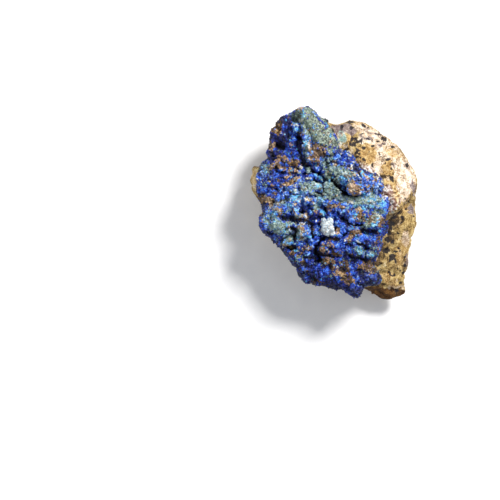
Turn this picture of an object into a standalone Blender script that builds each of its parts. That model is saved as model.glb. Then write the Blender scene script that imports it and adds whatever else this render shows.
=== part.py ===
"""An azurite specimen: a crust of azurite and malachite on a loose piece of ochre host rock.

The specimen lies on its broken back, crust upwards. All sizes are in millimetres until a
mesh is made, where MM turns them into Blender's metres. +X runs along the specimen's width,
+Y along its length and +Z out of the crust. The origin is the middle of the bounding box in
plan, on the surface that the rock rests on.
"""

import math

import bmesh
import bpy
from mathutils import Matrix, Vector, noise

MM = 0.001

# Driving dimensions.
ROCK_TRIANGLES = 2700
CRUST_TRIANGLES = 6900
BED_TRIANGLES = 1100
CRYSTAL_SEAT_TRIANGLES = 260
CONTACT_GAP = 0.35
ROCK_VOXEL = 0.50
CRUST_VOXEL = 0.36
CRYSTAL_VOXEL = 0.20
REST_LIFT = 0.6  # below this height the back's roughness fades into the flat face it rests on

# The outline of the host rock in plan, clockwise from the notch beside the malachite slab.
ROCK_OUTLINE = [
    (-0.5, 14.1), (3.5, 15.2), (7.6, 13.4), (11.4, 10.8), (13.4, 7.8), (15.2, 4.9),
    (15.0, 1.8), (15.3, -1.6), (14.5, -6.0), (13.6, -8.8), (13.2, -13.2), (12.8, -16.5),
    (11.2, -17.6), (7.8, -17.0), (5.6, -15.3), (1.8, -13.6), (-3.4, -12.4), (-6.6, -9.2),
    (-10.6, -6.4), (-12.2, -3.6), (-12.9, 0.0), (-14.6, 2.2), (-15.3, 4.2), (-14.3, 6.6),
    (-11.4, 8.2), (-10.6, 12.6), (-8.0, 14.8), (-5.2, 16.0), (-2.4, 15.0),
]
# The raised part of the rock under the crust and to its upper right.
LEDGE_OUTLINE = [
    (-0.5, 14.1), (3.5, 15.2), (7.6, 13.4), (11.4, 10.8), (13.4, 7.8), (15.2, 4.9),
    (15.1, 3.6), (13.7, 1.2), (11.7, -1.2), (9.8, -2.4), (5.0, -6.0), (-4.0, -7.0),
    (-10.6, -3.6), (-12.4, 2.0), (-12.0, 6.6), (-10.2, 12.2), (-5.4, 15.6), (-2.4, 14.8),
]
# The outline of the crust in plan, clockwise from its left corner.
CRUST_OUTLINE = [
    (-14.3, 4.6), (-13.2, 7.1), (-12.0, 8.5), (-11.8, 11.3), (-11.2, 13.5), (-9.5, 15.3),
    (-7.1, 16.9), (-6.1, 17.5), (-3.6, 16.7), (-1.2, 14.7), (0.6, 12.2), (1.4, 9.8),
    (4.7, 7.5), (7.4, 5.1), (8.8, 2.2), (9.8, -0.6), (9.8, -3.4), (8.8, -6.6), (8.2, -9.2),
    (6.8, -11.4), (8.4, -13.6), (6.6, -15.0), (5.2, -16.2), (3.8, -17.0), (2.2, -16.2),
    (-2.4, -14.7), (-5.2, -14.5), (-7.3, -11.4), (-9.4, -8.6), (-11.2, -6.7), (-13.3, -5.0),
    (-13.5, -3.2), (-13.1, -0.9), (-13.8, 1.6),
]
# Height in millimetres and the outline's scale there.
SLAB_LEVELS = [(0.0, 0.68), (1.4, 0.80), (3.4, 0.95), (5.6, 1.0), (8.0, 0.985), (10.4, 0.94)]
LEDGE_LEVELS = [(5.0, 0.90), (8.0, 0.97), (10.0, 1.0), (14.6, 0.95)]
CRUST_LEVELS = [(7.4, 0.92), (8.6, 0.98), (10.2, 1.0), (11.8, 0.97), (12.9, 0.90)]
# The slab of malachite along the crust's upper right edge.
MALACHITE_OUTLINE = [
    (-7.3, 15.6), (-6.2, 17.3), (-3.7, 16.5), (-1.4, 14.6), (0.4, 12.2), (1.2, 9.8),
    (0.2, 8.3), (-2.0, 8.5), (-4.2, 10.8), (-5.4, 13.2),
]
MALACHITE_LEVELS = [(11.0, 1.0), (15.4, 1.0), (17.6, 0.98)]

# Fracture planes: a point on the plane, and its outward normal.
SLAB_CUTS = [
    ((10.0, -2.5, 9.4), (0.39, -0.16, 0.91)),    # the lower face beside the crust
    ((12.2, -15.4, 6.2), (0.05, -0.80, 0.60)),   # the brown end
    ((-10.0, -6.0, 3.6), (-0.62, -0.62, -0.48)),  # back, lower left
    ((12.6, 9.0, 4.2), (0.72, 0.46, -0.52)),     # back, upper right
    ((-2.0, 14.6, 4.4), (-0.10, 0.84, -0.54)),   # back, top
    ((14.2, -9.0, 3.4), (0.86, -0.10, -0.50)),   # back, right
    ((-14.0, 4.2, 5.0), (-0.80, 0.10, -0.59)),   # back, left
]
LEDGE_CUTS = [
    ((5.0, 9.0, 12.5), (0.30, 0.32, 0.90)),      # the pale upper face
    ((8.4, 11.6, 10.9), (0.42, 0.66, 0.62)),     # the spotted strip along the upper edge
    ((14.6, 2.0, 8.6), (0.80, -0.48, -0.35)),    # the undercut below its right corner
    ((2.0, 6.0, 12.0), (-0.25, -0.10, 0.96)),    # the bed under the crust
]
MALACHITE_CUTS = [
    ((-2.8, 12.6, 16.7), (0.22, 0.26, 0.94)),    # its velvety face
    ((-5.4, 12.6, 14.6), (-0.84, -0.36, 0.40)),  # the side above the main groove
]

# Lumps of the crust: centre x and y, height of the top, radii, and turn about Z in degrees.
LUMPS = {
    "slab_foot": (-3.6, 8.6, 16.6, (2.5, 1.9, 2.6), -30),
    "upper_left_flank": (-8.6, 14.4, 13.6, (2.5, 1.6, 2.6), 38),
    "left_edge_knob": (-10.4, 12.4, 13.2, (1.5, 1.7, 2.2), 20),
    "left_edge_step": (-10.8, 8.9, 13.0, (1.5, 1.4, 2.0), 0),
    "cavity_wall": (-7.4, 10.6, 14.4, (1.4, 2.4, 2.2), -10),
    "worm_knot": (-7.6, 7.2, 15.2, (2.6, 1.5, 2.2), 10),
    "worm_end": (-10.6, 6.6, 14.2, (1.6, 1.1, 1.8), 30),
    "left_mound": (-11.9, 3.8, 14.4, (2.3, 2.6, 2.4), 10),
    "left_blue_knob": (-9.0, 4.2, 15.0, (1.8, 1.6, 2.0), 0),
    "tan_ridge": (-6.9, 3.5, 15.9, (3.0, 1.1, 2.0), 26),
    "left_saddle": (-10.4, 1.0, 14.2, (2.6, 1.5, 2.2), -10),
    "puff_left": (-4.4, 2.3, 16.9, (2.2, 1.5, 2.2), 12),
    "puff_middle": (-1.5, 2.2, 17.0, (1.5, 1.4, 2.0), 0),
    "puff_low": (-1.3, 0.5, 16.8, (1.7, 1.2, 1.9), 15),
    "groove_bank": (-1.6, 5.9, 16.2, (1.6, 1.2, 2.0), -40),
    "blue_knobs": (1.6, 7.9, 15.6, (2.2, 1.5, 2.2), -20),
    "puff_upper": (-0.4, 4.7, 16.9, (2.0, 1.1, 2.2), -24),
    "overhang_root": (0.9, 5.6, 17.4, (2.6, 1.6, 2.4), -22),
    "overhang": (3.6, 4.3, 18.6, (3.8, 2.1, 2.6), -26),
    "overhang_nose": (3.8, 2.7, 18.5, (2.0, 1.7, 2.0), 0),
    "overhang_heel": (7.2, 3.3, 16.8, (1.9, 1.7, 2.4), -42),
    "green_ledge": (5.2, 0.2, 16.2, (3.4, 1.3, 2.0), -10),
    "turquoise_rim": (8.4, -0.9, 16.4, (1.4, 2.2, 2.4), 10),
    "lobe_crown": (5.4, -1.7, 16.2, (2.4, 1.5, 2.2), -12),
    "right_lobe": (6.9, -3.2, 16.2, (2.9, 1.7, 2.4), 24),
    "middle_bank": (1.6, -1.0, 16.2, (2.6, 1.3, 2.2), -16),
    "middle_block": (3.0, -3.2, 15.6, (2.0, 1.5, 2.2), -30),
    "crescent": (-6.9, 0.2, 16.0, (2.2, 1.5, 2.2), 24),
    "crescent_tail": (-9.3, -1.5, 15.2, (2.0, 1.2, 2.0), 32),
    "centre_knob": (-3.6, -1.6, 15.8, (1.4, 1.6, 2.0), 0),
    "white_seat": (-1.1, -4.0, 15.4, (1.6, 1.9, 2.2), 0),
    "grey_ledge": (-9.4, -4.2, 14.8, (3.0, 1.0, 2.0), -6),
    "left_corner": (-12.0, -4.0, 13.2, (1.5, 1.7, 2.0), 0),
    "mauve_knob": (-5.4, -5.2, 15.6, (1.7, 1.8, 2.2), -20),
    "tooth": (-8.2, -7.0, 14.2, (1.3, 1.0, 1.8), 20),
    "lower_left_bank": (-5.6, -8.6, 14.4, (2.2, 1.5, 2.2), 24),
    "lower_left_toe": (-6.4, -10.9, 13.0, (1.5, 1.6, 2.0), 0),
    "brown_ledge": (-0.4, -7.9, 15.6, (2.9, 1.2, 2.2), -12),
    "brown_ledge_end": (2.6, -7.0, 15.2, (1.9, 1.3, 2.2), -30),
    "horseshoe_top": (5.0, -6.6, 15.4, (2.2, 1.1, 2.2), 0),
    "horseshoe_left": (4.2, -8.7, 15.0, (1.3, 1.3, 2.2), -30),
    "horseshoe_right": (7.0, -8.6, 14.6, (1.2, 1.8, 2.2), 0),
    "low_shelf": (-0.6, -10.6, 14.4, (1.9, 0.9, 1.8), -8),
    "navy_bed": (-3.2, -11.8, 13.6, (2.6, 1.9, 2.2), 0),
    "eye": (2.0, -12.6, 13.8, (2.4, 2.1, 2.2), -40),
    "low_ridge": (4.6, -11.8, 13.8, (1.3, 2.0, 2.0), 10),
    "foot": (3.9, -15.6, 12.4, (1.5, 1.6, 2.2), 0),
    "right_toe": (7.0, -13.6, 12.4, (1.7, 1.2, 2.0), 6),
}

# Crevices and hollows cut into the lumps: depth of the cut's middle line, its radius, its path.
CREVICES = {
    "main_groove": (14.2, 0.62, [
        (-6.4, 12.8), (-6.0, 9.6), (-5.4, 6.8), (-3.4, 4.3), (-0.6, 3.2), (1.8, 2.0), (4.4, 1.3),
    ]),
    "dark_vug": (12.6, 1.15, [(-9.9, 11.4), (-10.2, 10.2), (-9.4, 9.6)]),
    "left_split": (13.2, 0.55, [(-10.2, 5.7), (-9.0, 2.4), (-10.6, -0.2)]),
    "puff_split": (15.4, 0.45, [(-3.0, 3.6), (-2.9, 1.2), (-0.6, -0.6)]),
    "crescent_shade": (13.8, 0.80, [(-10.2, -2.9), (-7.6, -2.5), (-5.2, -2.6)]),
    "centre_pit": (13.8, 0.70, [(-2.4, -0.9), (-2.6, -2.2)]),
    "lobe_shade": (13.6, 0.70, [(1.8, -4.6), (4.4, -5.2), (7.4, -5.3), (9.2, -5.6)]),
    "tooth_pit": (13.0, 0.70, [(-7.2, -5.2), (-6.9, -6.6)]),
    "tooth_gap": (12.4, 0.75, [(-9.4, -7.0), (-7.9, -8.3), (-6.6, -7.9)]),
    "ledge_gap": (13.6, 0.65, [(-2.2, -5.9), (-3.6, -7.4), (-2.6, -9.3), (1.2, -9.6), (3.2, -9.8)]),
    "horseshoe_pit": (13.2, 0.70, [(5.6, -7.7), (5.8, -10.0)]),
    "low_gap": (12.6, 0.55, [(-3.4, -9.6), (-2.0, -11.2)]),
    "rim_gap": (13.4, 0.50, [(1.4, -0.2), (2.6, -1.8), (4.8, -1.8)]),
}

# The white crystals: each rhomb's centre, half its side, and its turns about X and Z in degrees.
WHITE_RHOMBS = [
    (-1.1, -4.4, 15.3, 0.75, 30, 10), (-1.7, -3.6, 15.4, 0.54, 50, 40), (-0.5, -3.5, 15.5, 0.56, 20, 65),
    (-1.9, -2.9, 15.3, 0.40, 35, 20), (-0.1, -2.9, 15.4, 0.42, 60, 30), (-1.9, -4.6, 15.5, 0.46, 25, 75),
    (-0.3, -4.5, 15.6, 0.50, 55, 15), (-1.2, -5.3, 15.2, 0.48, 40, 50), (-0.2, -5.3, 15.2, 0.40, 15, 35),
    (-1.1, -3.8, 15.9, 0.44, 45, 25), (-1.2, -4.9, 15.8, 0.38, 65, 60),
]


def new_object(name, mesh, collection):
    obj = bpy.data.objects.new(name, mesh)
    collection.objects.link(obj)
    return obj


def mesh_from(bm, name):
    bmesh.ops.recalc_face_normals(bm, faces=bm.faces)
    mesh = bpy.data.meshes.new(name)
    bm.to_mesh(mesh)
    bm.free()
    return mesh


def cut(bm, point, normal):
    """Breaks the solid off along a plane and closes it there."""
    made = bmesh.ops.bisect_plane(
        bm,
        geom=bm.verts[:] + bm.edges[:] + bm.faces[:],
        plane_co=Vector(point) * MM,
        plane_no=Vector(normal),
        clear_outer=True,
    )
    rim = [part for part in made["geom_cut"] if isinstance(part, bmesh.types.BMEdge)]
    bmesh.ops.edgeloop_fill(bm, edges=rim)


def chunk(name, outline, levels, cuts=()):
    """An outline extruded up through its levels, scaled at each, and broken along the cuts."""
    bm = bmesh.new()
    height_now, scale_now = levels[0]
    ring = [bm.verts.new(Vector((x * scale_now, y * scale_now, height_now)) * MM) for x, y in outline]
    bottom = bm.faces.new(ring)
    top = bottom
    for height, scale in levels[1:]:
        grown = bmesh.ops.extrude_face_region(bm, geom=[top])["geom"]
        if top is not bottom:
            bmesh.ops.delete(bm, geom=[top], context="FACES_ONLY")
        points = [part for part in grown if isinstance(part, bmesh.types.BMVert)]
        top = next(part for part in grown if isinstance(part, bmesh.types.BMFace))
        bmesh.ops.scale(bm, vec=(scale / scale_now, scale / scale_now, 1.0), verts=points)
        bmesh.ops.translate(bm, vec=(0.0, 0.0, (height - height_now) * MM), verts=points)
        scale_now, height_now = scale, height
    bmesh.ops.recalc_face_normals(bm, faces=bm.faces)
    for point, normal in cuts:
        cut(bm, point, normal)
    return mesh_from(bm, name)


def lump(name, x, y, top, radii, turn):
    """An ellipsoid whose highest point is at the given height."""
    bm = bmesh.new()
    bmesh.ops.create_icosphere(bm, subdivisions=2, radius=MM)
    place = (
        Matrix.Translation(Vector((x, y, top - radii[2])) * MM)
        @ Matrix.Rotation(math.radians(turn), 4, "Z")
        @ Matrix.Diagonal((*radii, 1.0))
    )
    bm.transform(place)
    return mesh_from(bm, name)


def crevice(name, depth, radius, path, collection):
    """A tube along the crevice's path, thinner at its ends, as a mesh that can cut."""
    curve = bpy.data.curves.new(name, "CURVE")
    curve.dimensions = "3D"
    curve.bevel_depth = radius * MM
    curve.bevel_resolution = 2
    curve.use_fill_caps = True
    curve.resolution_u = 3
    spline = curve.splines.new("NURBS")
    spline.points.add(len(path) - 1)
    spline.order_u = min(3, len(path))
    spline.use_endpoint_u = True
    for point, (x, y) in zip(spline.points, path):
        point.co = (x * MM, y * MM, depth * MM, 1.0)
    obj = new_object(name, curve, collection)
    bpy.context.view_layer.update()
    mesh = bpy.data.meshes.new_from_object(obj.evaluated_get(bpy.context.evaluated_depsgraph_get()))
    bpy.data.objects.remove(obj)
    bm = bmesh.new()
    bm.from_mesh(mesh)
    bmesh.ops.remove_doubles(bm, verts=bm.verts, dist=0.001 * MM)
    return mesh_from(bm, name)


def joined(name, meshes, collection):
    """One object that holds every mesh, still overlapping."""
    bm = bmesh.new()
    for mesh in meshes:
        bm.from_mesh(mesh)
    mesh = bpy.data.meshes.new(name)
    bm.to_mesh(mesh)
    bm.free()
    return new_object(name, mesh, collection)


def applied(obj):
    """Gives the object the mesh that its modifiers make, and drops them."""
    bpy.context.view_layer.update()
    mesh = bpy.data.meshes.new_from_object(obj.evaluated_get(bpy.context.evaluated_depsgraph_get()))
    obj.modifiers.clear()
    obj.data = mesh
    return obj


def remesh(obj, voxel):
    modifier = obj.modifiers.new("voxels", "REMESH")
    modifier.mode = "VOXEL"
    modifier.voxel_size = voxel * MM
    return applied(obj)


def smooth(obj, factor, times):
    modifier = obj.modifiers.new("smooth", "SMOOTH")
    modifier.factor = factor
    modifier.iterations = times
    return applied(obj)


def decimate(obj, triangles):
    obj.data.calc_loop_triangles()
    modifier = obj.modifiers.new("fewer_faces", "DECIMATE")
    modifier.ratio = min(1.0, triangles / len(obj.data.loop_triangles))
    modifier.use_collapse_triangulate = True
    return applied(obj)


def combine(obj, other, operation):
    modifier = obj.modifiers.new("combine", "BOOLEAN")
    modifier.operation = operation
    modifier.object = other
    return applied(obj)


def sculpt(obj, height_at):
    """Moves each vertex along its normal by height_at(its place in millimetres)."""
    mesh = obj.data
    normals = [Vector(n.vector) for n in mesh.vertex_normals]
    for vertex, normal in zip(mesh.vertices, normals):
        vertex.co += normal * (height_at(vertex.co / MM) * MM)
    mesh.update()
    return obj


def keep_largest_body(obj):
    """Drops the crumbs that a cut leaves loose."""
    bm = bmesh.new()
    bm.from_mesh(obj.data)
    bm.faces.ensure_lookup_table()
    left = set(bm.faces)
    bodies = []
    while left:
        body = [left.pop()]
        for face in body:
            for edge in face.edges:
                for other in edge.link_faces:
                    if other in left:
                        left.remove(other)
                        body.append(other)
        bodies.append(body)
    bodies.sort(key=len, reverse=True)
    crumbs = [face for body in bodies[1:] for face in body]
    bmesh.ops.delete(bm, geom=crumbs, context="FACES")
    bm.to_mesh(obj.data)
    bm.free()
    return obj


def on_malachite(place):
    """1 on the malachite slab's face, fading to 0 around it."""
    along = Vector((0.68, -0.73, 0.0))
    offset = place - Vector((-2.9, 12.4, place.z))
    across = abs(offset.dot(Vector((0.73, 0.68, 0.0)))) / 3.2
    length = abs(offset.dot(along)) / 5.6
    height = min(1.0, max(0.0, (place.z - 14.8) / 0.8))
    return height * min(1.0, max(0.0, 2.5 * (1.0 - max(across, length))))


def rock_relief(place):
    """Broken, slightly stepped stone. The back stays flat where the specimen rests."""
    broad = noise.noise(place * 0.22 + Vector((3.1, 0.0, 7.7)))
    steps = noise.cell(place * 0.55 + Vector((0.0, 9.0, 0.0))) - 0.5
    fine = noise.noise(place * 0.9 + Vector((11.0, 5.0, 2.0)))
    lift = min(1.0, max(0.0, (place.z - 0.05) / REST_LIFT))
    return lift * (0.55 * broad + 0.16 * steps + 0.22 * fine)


def crust_relief(place):
    """Knobs about a millimetre across, split by cracks, over a broader unevenness."""
    near, _points = noise.voronoi(place * 0.80)
    knobs = 0.5 - near[0]
    cracks = min(0.0, near[1] - near[0] - 0.22)
    broad = noise.noise(place * 0.38 + Vector((5.0, 1.0, 4.0)))
    return (0.80 * knobs + 1.2 * cracks + 0.45 * broad) * (1.0 - 0.7 * on_malachite(place))


def material(name, colour, roughness):
    made = bpy.data.materials.new(name)
    made.use_nodes = True
    shader = made.node_tree.nodes["Principled BSDF"]
    shader.inputs["Base Color"].default_value = (*colour, 1.0)
    shader.inputs["Roughness"].default_value = roughness
    shader.inputs["Metallic"].default_value = 0.0
    return made


def host_rock(collection):
    """The slab, with the raised ledge that carries the crust."""
    slab = chunk("slab", ROCK_OUTLINE, SLAB_LEVELS, SLAB_CUTS)
    ledge = chunk("ledge", LEDGE_OUTLINE, LEDGE_LEVELS, LEDGE_CUTS)
    rock = joined("host_rock", [slab, ledge], collection)
    remesh(rock, ROCK_VOXEL)
    smooth(rock, 0.5, 2)
    sculpt(rock, rock_relief)
    flatten_back(rock)
    decimate(rock, ROCK_TRIANGLES)
    rock.data.materials.clear()
    rock.data.materials.append(material("ochre_rock", (0.60, 0.44, 0.20), 0.85))
    return rock


def flatten_back(rock):
    """Cuts the back off flat, at the height that the specimen rests on."""
    bm = bmesh.new()
    bm.from_mesh(rock.data)
    cut(bm, (0.0, 0.0, 0.0), (0.0, 0.0, -1.0))
    rock.data = mesh_from(bm, "host_rock")


def seat_for(piece, voxel, triangles, collection):
    """The piece grown by the contact gap, which cuts its seat into the crust."""
    seat = new_object("seat_for_" + piece.name, piece.data.copy(), collection)
    sculpt(seat, lambda place: CONTACT_GAP)
    remesh(seat, voxel)
    decimate(seat, triangles)
    seat.hide_render = True
    seat.display_type = "WIRE"
    return seat


def azurite_crust(rock, crystals, collection, cutters):
    """The lumps grown together, split by crevices, seated on the rock and round the crystals."""
    base = chunk("crust_base", CRUST_OUTLINE, CRUST_LEVELS)
    slab = chunk("malachite_slab", MALACHITE_OUTLINE, MALACHITE_LEVELS, MALACHITE_CUTS)
    lumps = [lump(name, *numbers) for name, numbers in LUMPS.items()]
    crust = joined("azurite_crust", [base, slab, *lumps], collection)
    remesh(crust, CRUST_VOXEL)
    for name, (depth, radius, path) in CREVICES.items():
        cutter = new_object(name, crevice(name, depth, radius, path, cutters), cutters)
        cutter.hide_render = True
        cutter.display_type = "WIRE"
        combine(crust, cutter, "DIFFERENCE")
    remesh(crust, CRUST_VOXEL)
    sculpt(crust, crust_relief)
    remesh(crust, CRUST_VOXEL)
    decimate(crust, CRUST_TRIANGLES)
    combine(crust, seat_for(rock, ROCK_VOXEL, BED_TRIANGLES, cutters), "DIFFERENCE")
    combine(crust, seat_for(crystals, CRYSTAL_VOXEL, CRYSTAL_SEAT_TRIANGLES, cutters), "DIFFERENCE")
    keep_largest_body(crust)
    crust.data.materials.clear()
    crust.data.materials.append(material("azurite", (0.03, 0.09, 0.55), 0.45))
    return crust


def white_crystals(collection):
    """A sugary cluster of small pale rhombs near the middle of the crust."""
    bodies = []
    for x, y, z, half, tilt, turn in WHITE_RHOMBS:
        bm = bmesh.new()
        bmesh.ops.create_cube(bm, size=2.0 * half * MM)
        turned = Matrix.Rotation(math.radians(turn), 4, "Z") @ Matrix.Rotation(math.radians(tilt), 4, "X")
        bm.transform(Matrix.Translation(Vector((x, y, z)) * MM) @ turned)
        bodies.append(new_object("rhomb", mesh_from(bm, "rhomb"), collection))
    cluster = bodies[0]
    cluster.name = "white_crystals"
    for body in bodies[1:]:
        combine(cluster, body, "UNION")
        bpy.data.objects.remove(body)
    cluster.data.materials.clear()
    cluster.data.materials.append(material("white_mineral", (0.72, 0.74, 0.68), 0.5))
    return cluster


def main():
    for obj in list(bpy.data.objects):
        bpy.data.objects.remove(obj)
    specimen = bpy.data.collections.new("azurite_specimen")
    cutters = bpy.data.collections.new("cutters")
    bpy.context.scene.collection.children.link(specimen)
    bpy.context.scene.collection.children.link(cutters)
    rock = host_rock(specimen)
    crystals = white_crystals(specimen)
    azurite_crust(rock, crystals, specimen, cutters)


main()
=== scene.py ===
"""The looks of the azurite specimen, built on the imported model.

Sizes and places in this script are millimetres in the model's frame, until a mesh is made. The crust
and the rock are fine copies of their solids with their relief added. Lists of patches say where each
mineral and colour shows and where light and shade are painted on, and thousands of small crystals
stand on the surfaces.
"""

import math
from collections import namedtuple

import bmesh
import bpy
import numpy as np
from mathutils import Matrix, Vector, noise


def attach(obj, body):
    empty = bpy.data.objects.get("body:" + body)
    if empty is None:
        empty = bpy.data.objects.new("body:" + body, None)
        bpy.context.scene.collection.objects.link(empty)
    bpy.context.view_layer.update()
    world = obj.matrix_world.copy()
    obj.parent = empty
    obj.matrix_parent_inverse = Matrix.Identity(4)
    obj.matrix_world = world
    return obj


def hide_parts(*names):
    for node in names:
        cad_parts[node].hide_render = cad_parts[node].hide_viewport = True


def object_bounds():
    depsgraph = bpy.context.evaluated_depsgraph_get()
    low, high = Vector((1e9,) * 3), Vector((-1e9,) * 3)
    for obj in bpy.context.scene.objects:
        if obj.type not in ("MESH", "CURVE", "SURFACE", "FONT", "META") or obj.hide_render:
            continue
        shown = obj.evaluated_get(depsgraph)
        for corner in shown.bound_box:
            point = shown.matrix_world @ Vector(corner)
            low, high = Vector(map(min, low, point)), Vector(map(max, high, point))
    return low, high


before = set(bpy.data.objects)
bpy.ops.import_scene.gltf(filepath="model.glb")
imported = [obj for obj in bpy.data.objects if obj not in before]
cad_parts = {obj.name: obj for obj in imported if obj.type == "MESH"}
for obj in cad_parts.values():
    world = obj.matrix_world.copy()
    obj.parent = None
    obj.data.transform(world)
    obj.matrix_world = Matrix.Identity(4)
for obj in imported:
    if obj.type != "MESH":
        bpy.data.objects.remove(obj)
CAD_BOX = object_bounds()

MM = 0.001
SEED = 7

# The camera looks straight down. The photograph's frame is square, and the specimen isn't in its middle.
PIXELS = 500
PIXELS_PER_MM = 5.5
ORIGIN_PIXEL = (334, 203)
CAMERA_X = (PIXELS / 2 - ORIGIN_PIXEL[0]) / PIXELS_PER_MM
CAMERA_Y = (ORIGIN_PIXEL[1] - PIXELS / 2) / PIXELS_PER_MM
CAMERA_HEIGHT = 400.0
MIDDLE_HEIGHT = 10.0  # the height at which the scale is true
SENSOR = 36.0
FLOOR_HALF = 2.0  # half the floor's width, in metres

# Each solid's fine copy: the size of its voxels, and how many times it is evened out.
COPIES = {"azurite_crust": (0.17, 6), "host_rock": (0.20, 2), "white_crystals": (0.10, 9)}

ROCK_SPREAD = 0.25  # how far the rock's broken sides stand out
CONTACT_FILL = 0.30  # how far the crust's underside grows to meet the rock
WHITE_SHIFT = np.array([-0.12, -0.30])  # where the white patch shows in plan, from its solid's middle
WHITE_SPREAD = 0.88  # the white patch's width over its solid's, because crystals stand round it
WHITE_TAPER = 0.10  # how much narrower it is for each millimetre towards its top

LUMP = 1.15  # the crust's knobs
LUMPLET = 0.55  # the small knobs on them
CLUMP = 0.36  # a clump of grains of one mineral
POOL = 160000  # the places on the crust that its crystals are picked from
LEVEL_REACH = 1.5  # the distance over which standing out or lying deep is judged
LEVEL_CELL = 0.25  # the grid on which it is judged
MAP_MARGIN = 0.004  # the bare rim of each group's box on a surface's map

# The patches below were set from the photograph, in the plan that as_seen gives. Each has the
# x and y of its middle, its two radii, its strength and, where it isn't level, its turn in degrees.

# Where each mineral shows on the crust. The strength is its share of the clumps there.
MALACHITE = [
    # the slab and the hollow beside it
    (-7, 15.5, 0.7, 1.3, 0.9, 10), (-6, 15.9, 1.6, 1.3, 0.97, -35), (-1.5, 15.5, 0.8, 0.6, 0.9, -50),
    (-3, 13.7, 5.1, 2.2, 0.98, -45), (-5, 10.6, 0.6, 1.2, 0.8, 10), (-0.6, 9.6, 0.6, 2.2, 0.75),
    # the upper middle and the ridge
    (-5, 8.6, 0.5, 1.6, 0.5), (-1.5, 7.4, 0.9, 0.8, 0.85, 20), (-4.7, 5.9, 0.6, 0.5, 0.9),
    (0.9, 5.8, 3, 0.9, 0.98, -12), (-0.8, 5, 1.2, 1, 0.98, -30), (2.6, 4.7, 1.3, 0.7, 0.45, -40),
    (0.6, 4.2, 0.9, 0.8, 0.96, -45), (-4.3, 3.1, 2, 1.1, 0.96, 5),
    # the upper left
    (-12.6, 6.3, 1.3, 1, 0.75), (-12.4, 3.5, 0.6, 0.9, 0.4),
    # the left side
    (-7.9, 1.6, 0.5, 0.7, 0.6, -20), (-6.9, 2.3, 0.9, 0.5, 0.6, 20), (-8.9, 0, 1.2, 0.7, 0.5, 30),
    (-9, -1.2, 1.2, 0.6, 0.4), (-6.4, -2.3, 0.9, 0.6, 0.6), (-11.3, -2.6, 1.6, 1.5, 0.7),
    (-9.7, -4.5, 1.9, 1.2, 0.97, -10), (-8.3, -3.65, 1.8, 0.3, 1, -6), (-12, -4.6, 1, 0.8, 0.5, -20),
    (-6.5, -5.4, 0.5, 1, 0.9), (-8.1, -6.5, 0.9, 0.8, 0.97), (-7.3, -5.6, 0.35, 0.5, 0.8),
    (-9, -7.3, 0.6, 0.6, 0.85), (-6.7, -7.4, 0.5, 0.5, 0.6),
    # the middle
    (-3.6, 1.7, 0.7, 0.4, 0.9), (-0.6, 2.4, 1.7, 1.8, 0.99), (0.9, 2, 1, 0.9, 0.96, -45),
    (-2.3, 0.9, 1, 0.6, 0.8, -10), (1.2, 0.8, 1.3, 0.5, 0.95, -10), (-3.4, -0.7, 0.7, 0.7, 0.95),
    # the right side
    (4, 0.6, 3.6, 0.8, 1, -3), (7.4, 0.8, 1.3, 0.9, 0.8, -20), (5.8, -0.3, 2.3, 0.5, 0.8, -10),
    (8.3, -1.4, 0.8, 1, 0.6), (6.5, -2.7, 1.6, 1.1, 0.97, 25), (6, -4.1, 1.1, 0.5, 0.95),
    # the lower end
    (7, -8.1, 0.7, 0.4, 0.7), (4.8, -8.8, 1.1, 0.8, 0.85, -35), (6.6, -9.4, 0.9, 0.6, 0.85),
    (-6.4, -10.3, 0.9, 0.8, 0.75, 20), (8.2, -10.2, 0.5, 0.8, 0.8), (7.6, -12.3, 0.8, 0.5, 0.7),
    (6.8, -13.9, 1.4, 0.8, 0.3),
]
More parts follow.
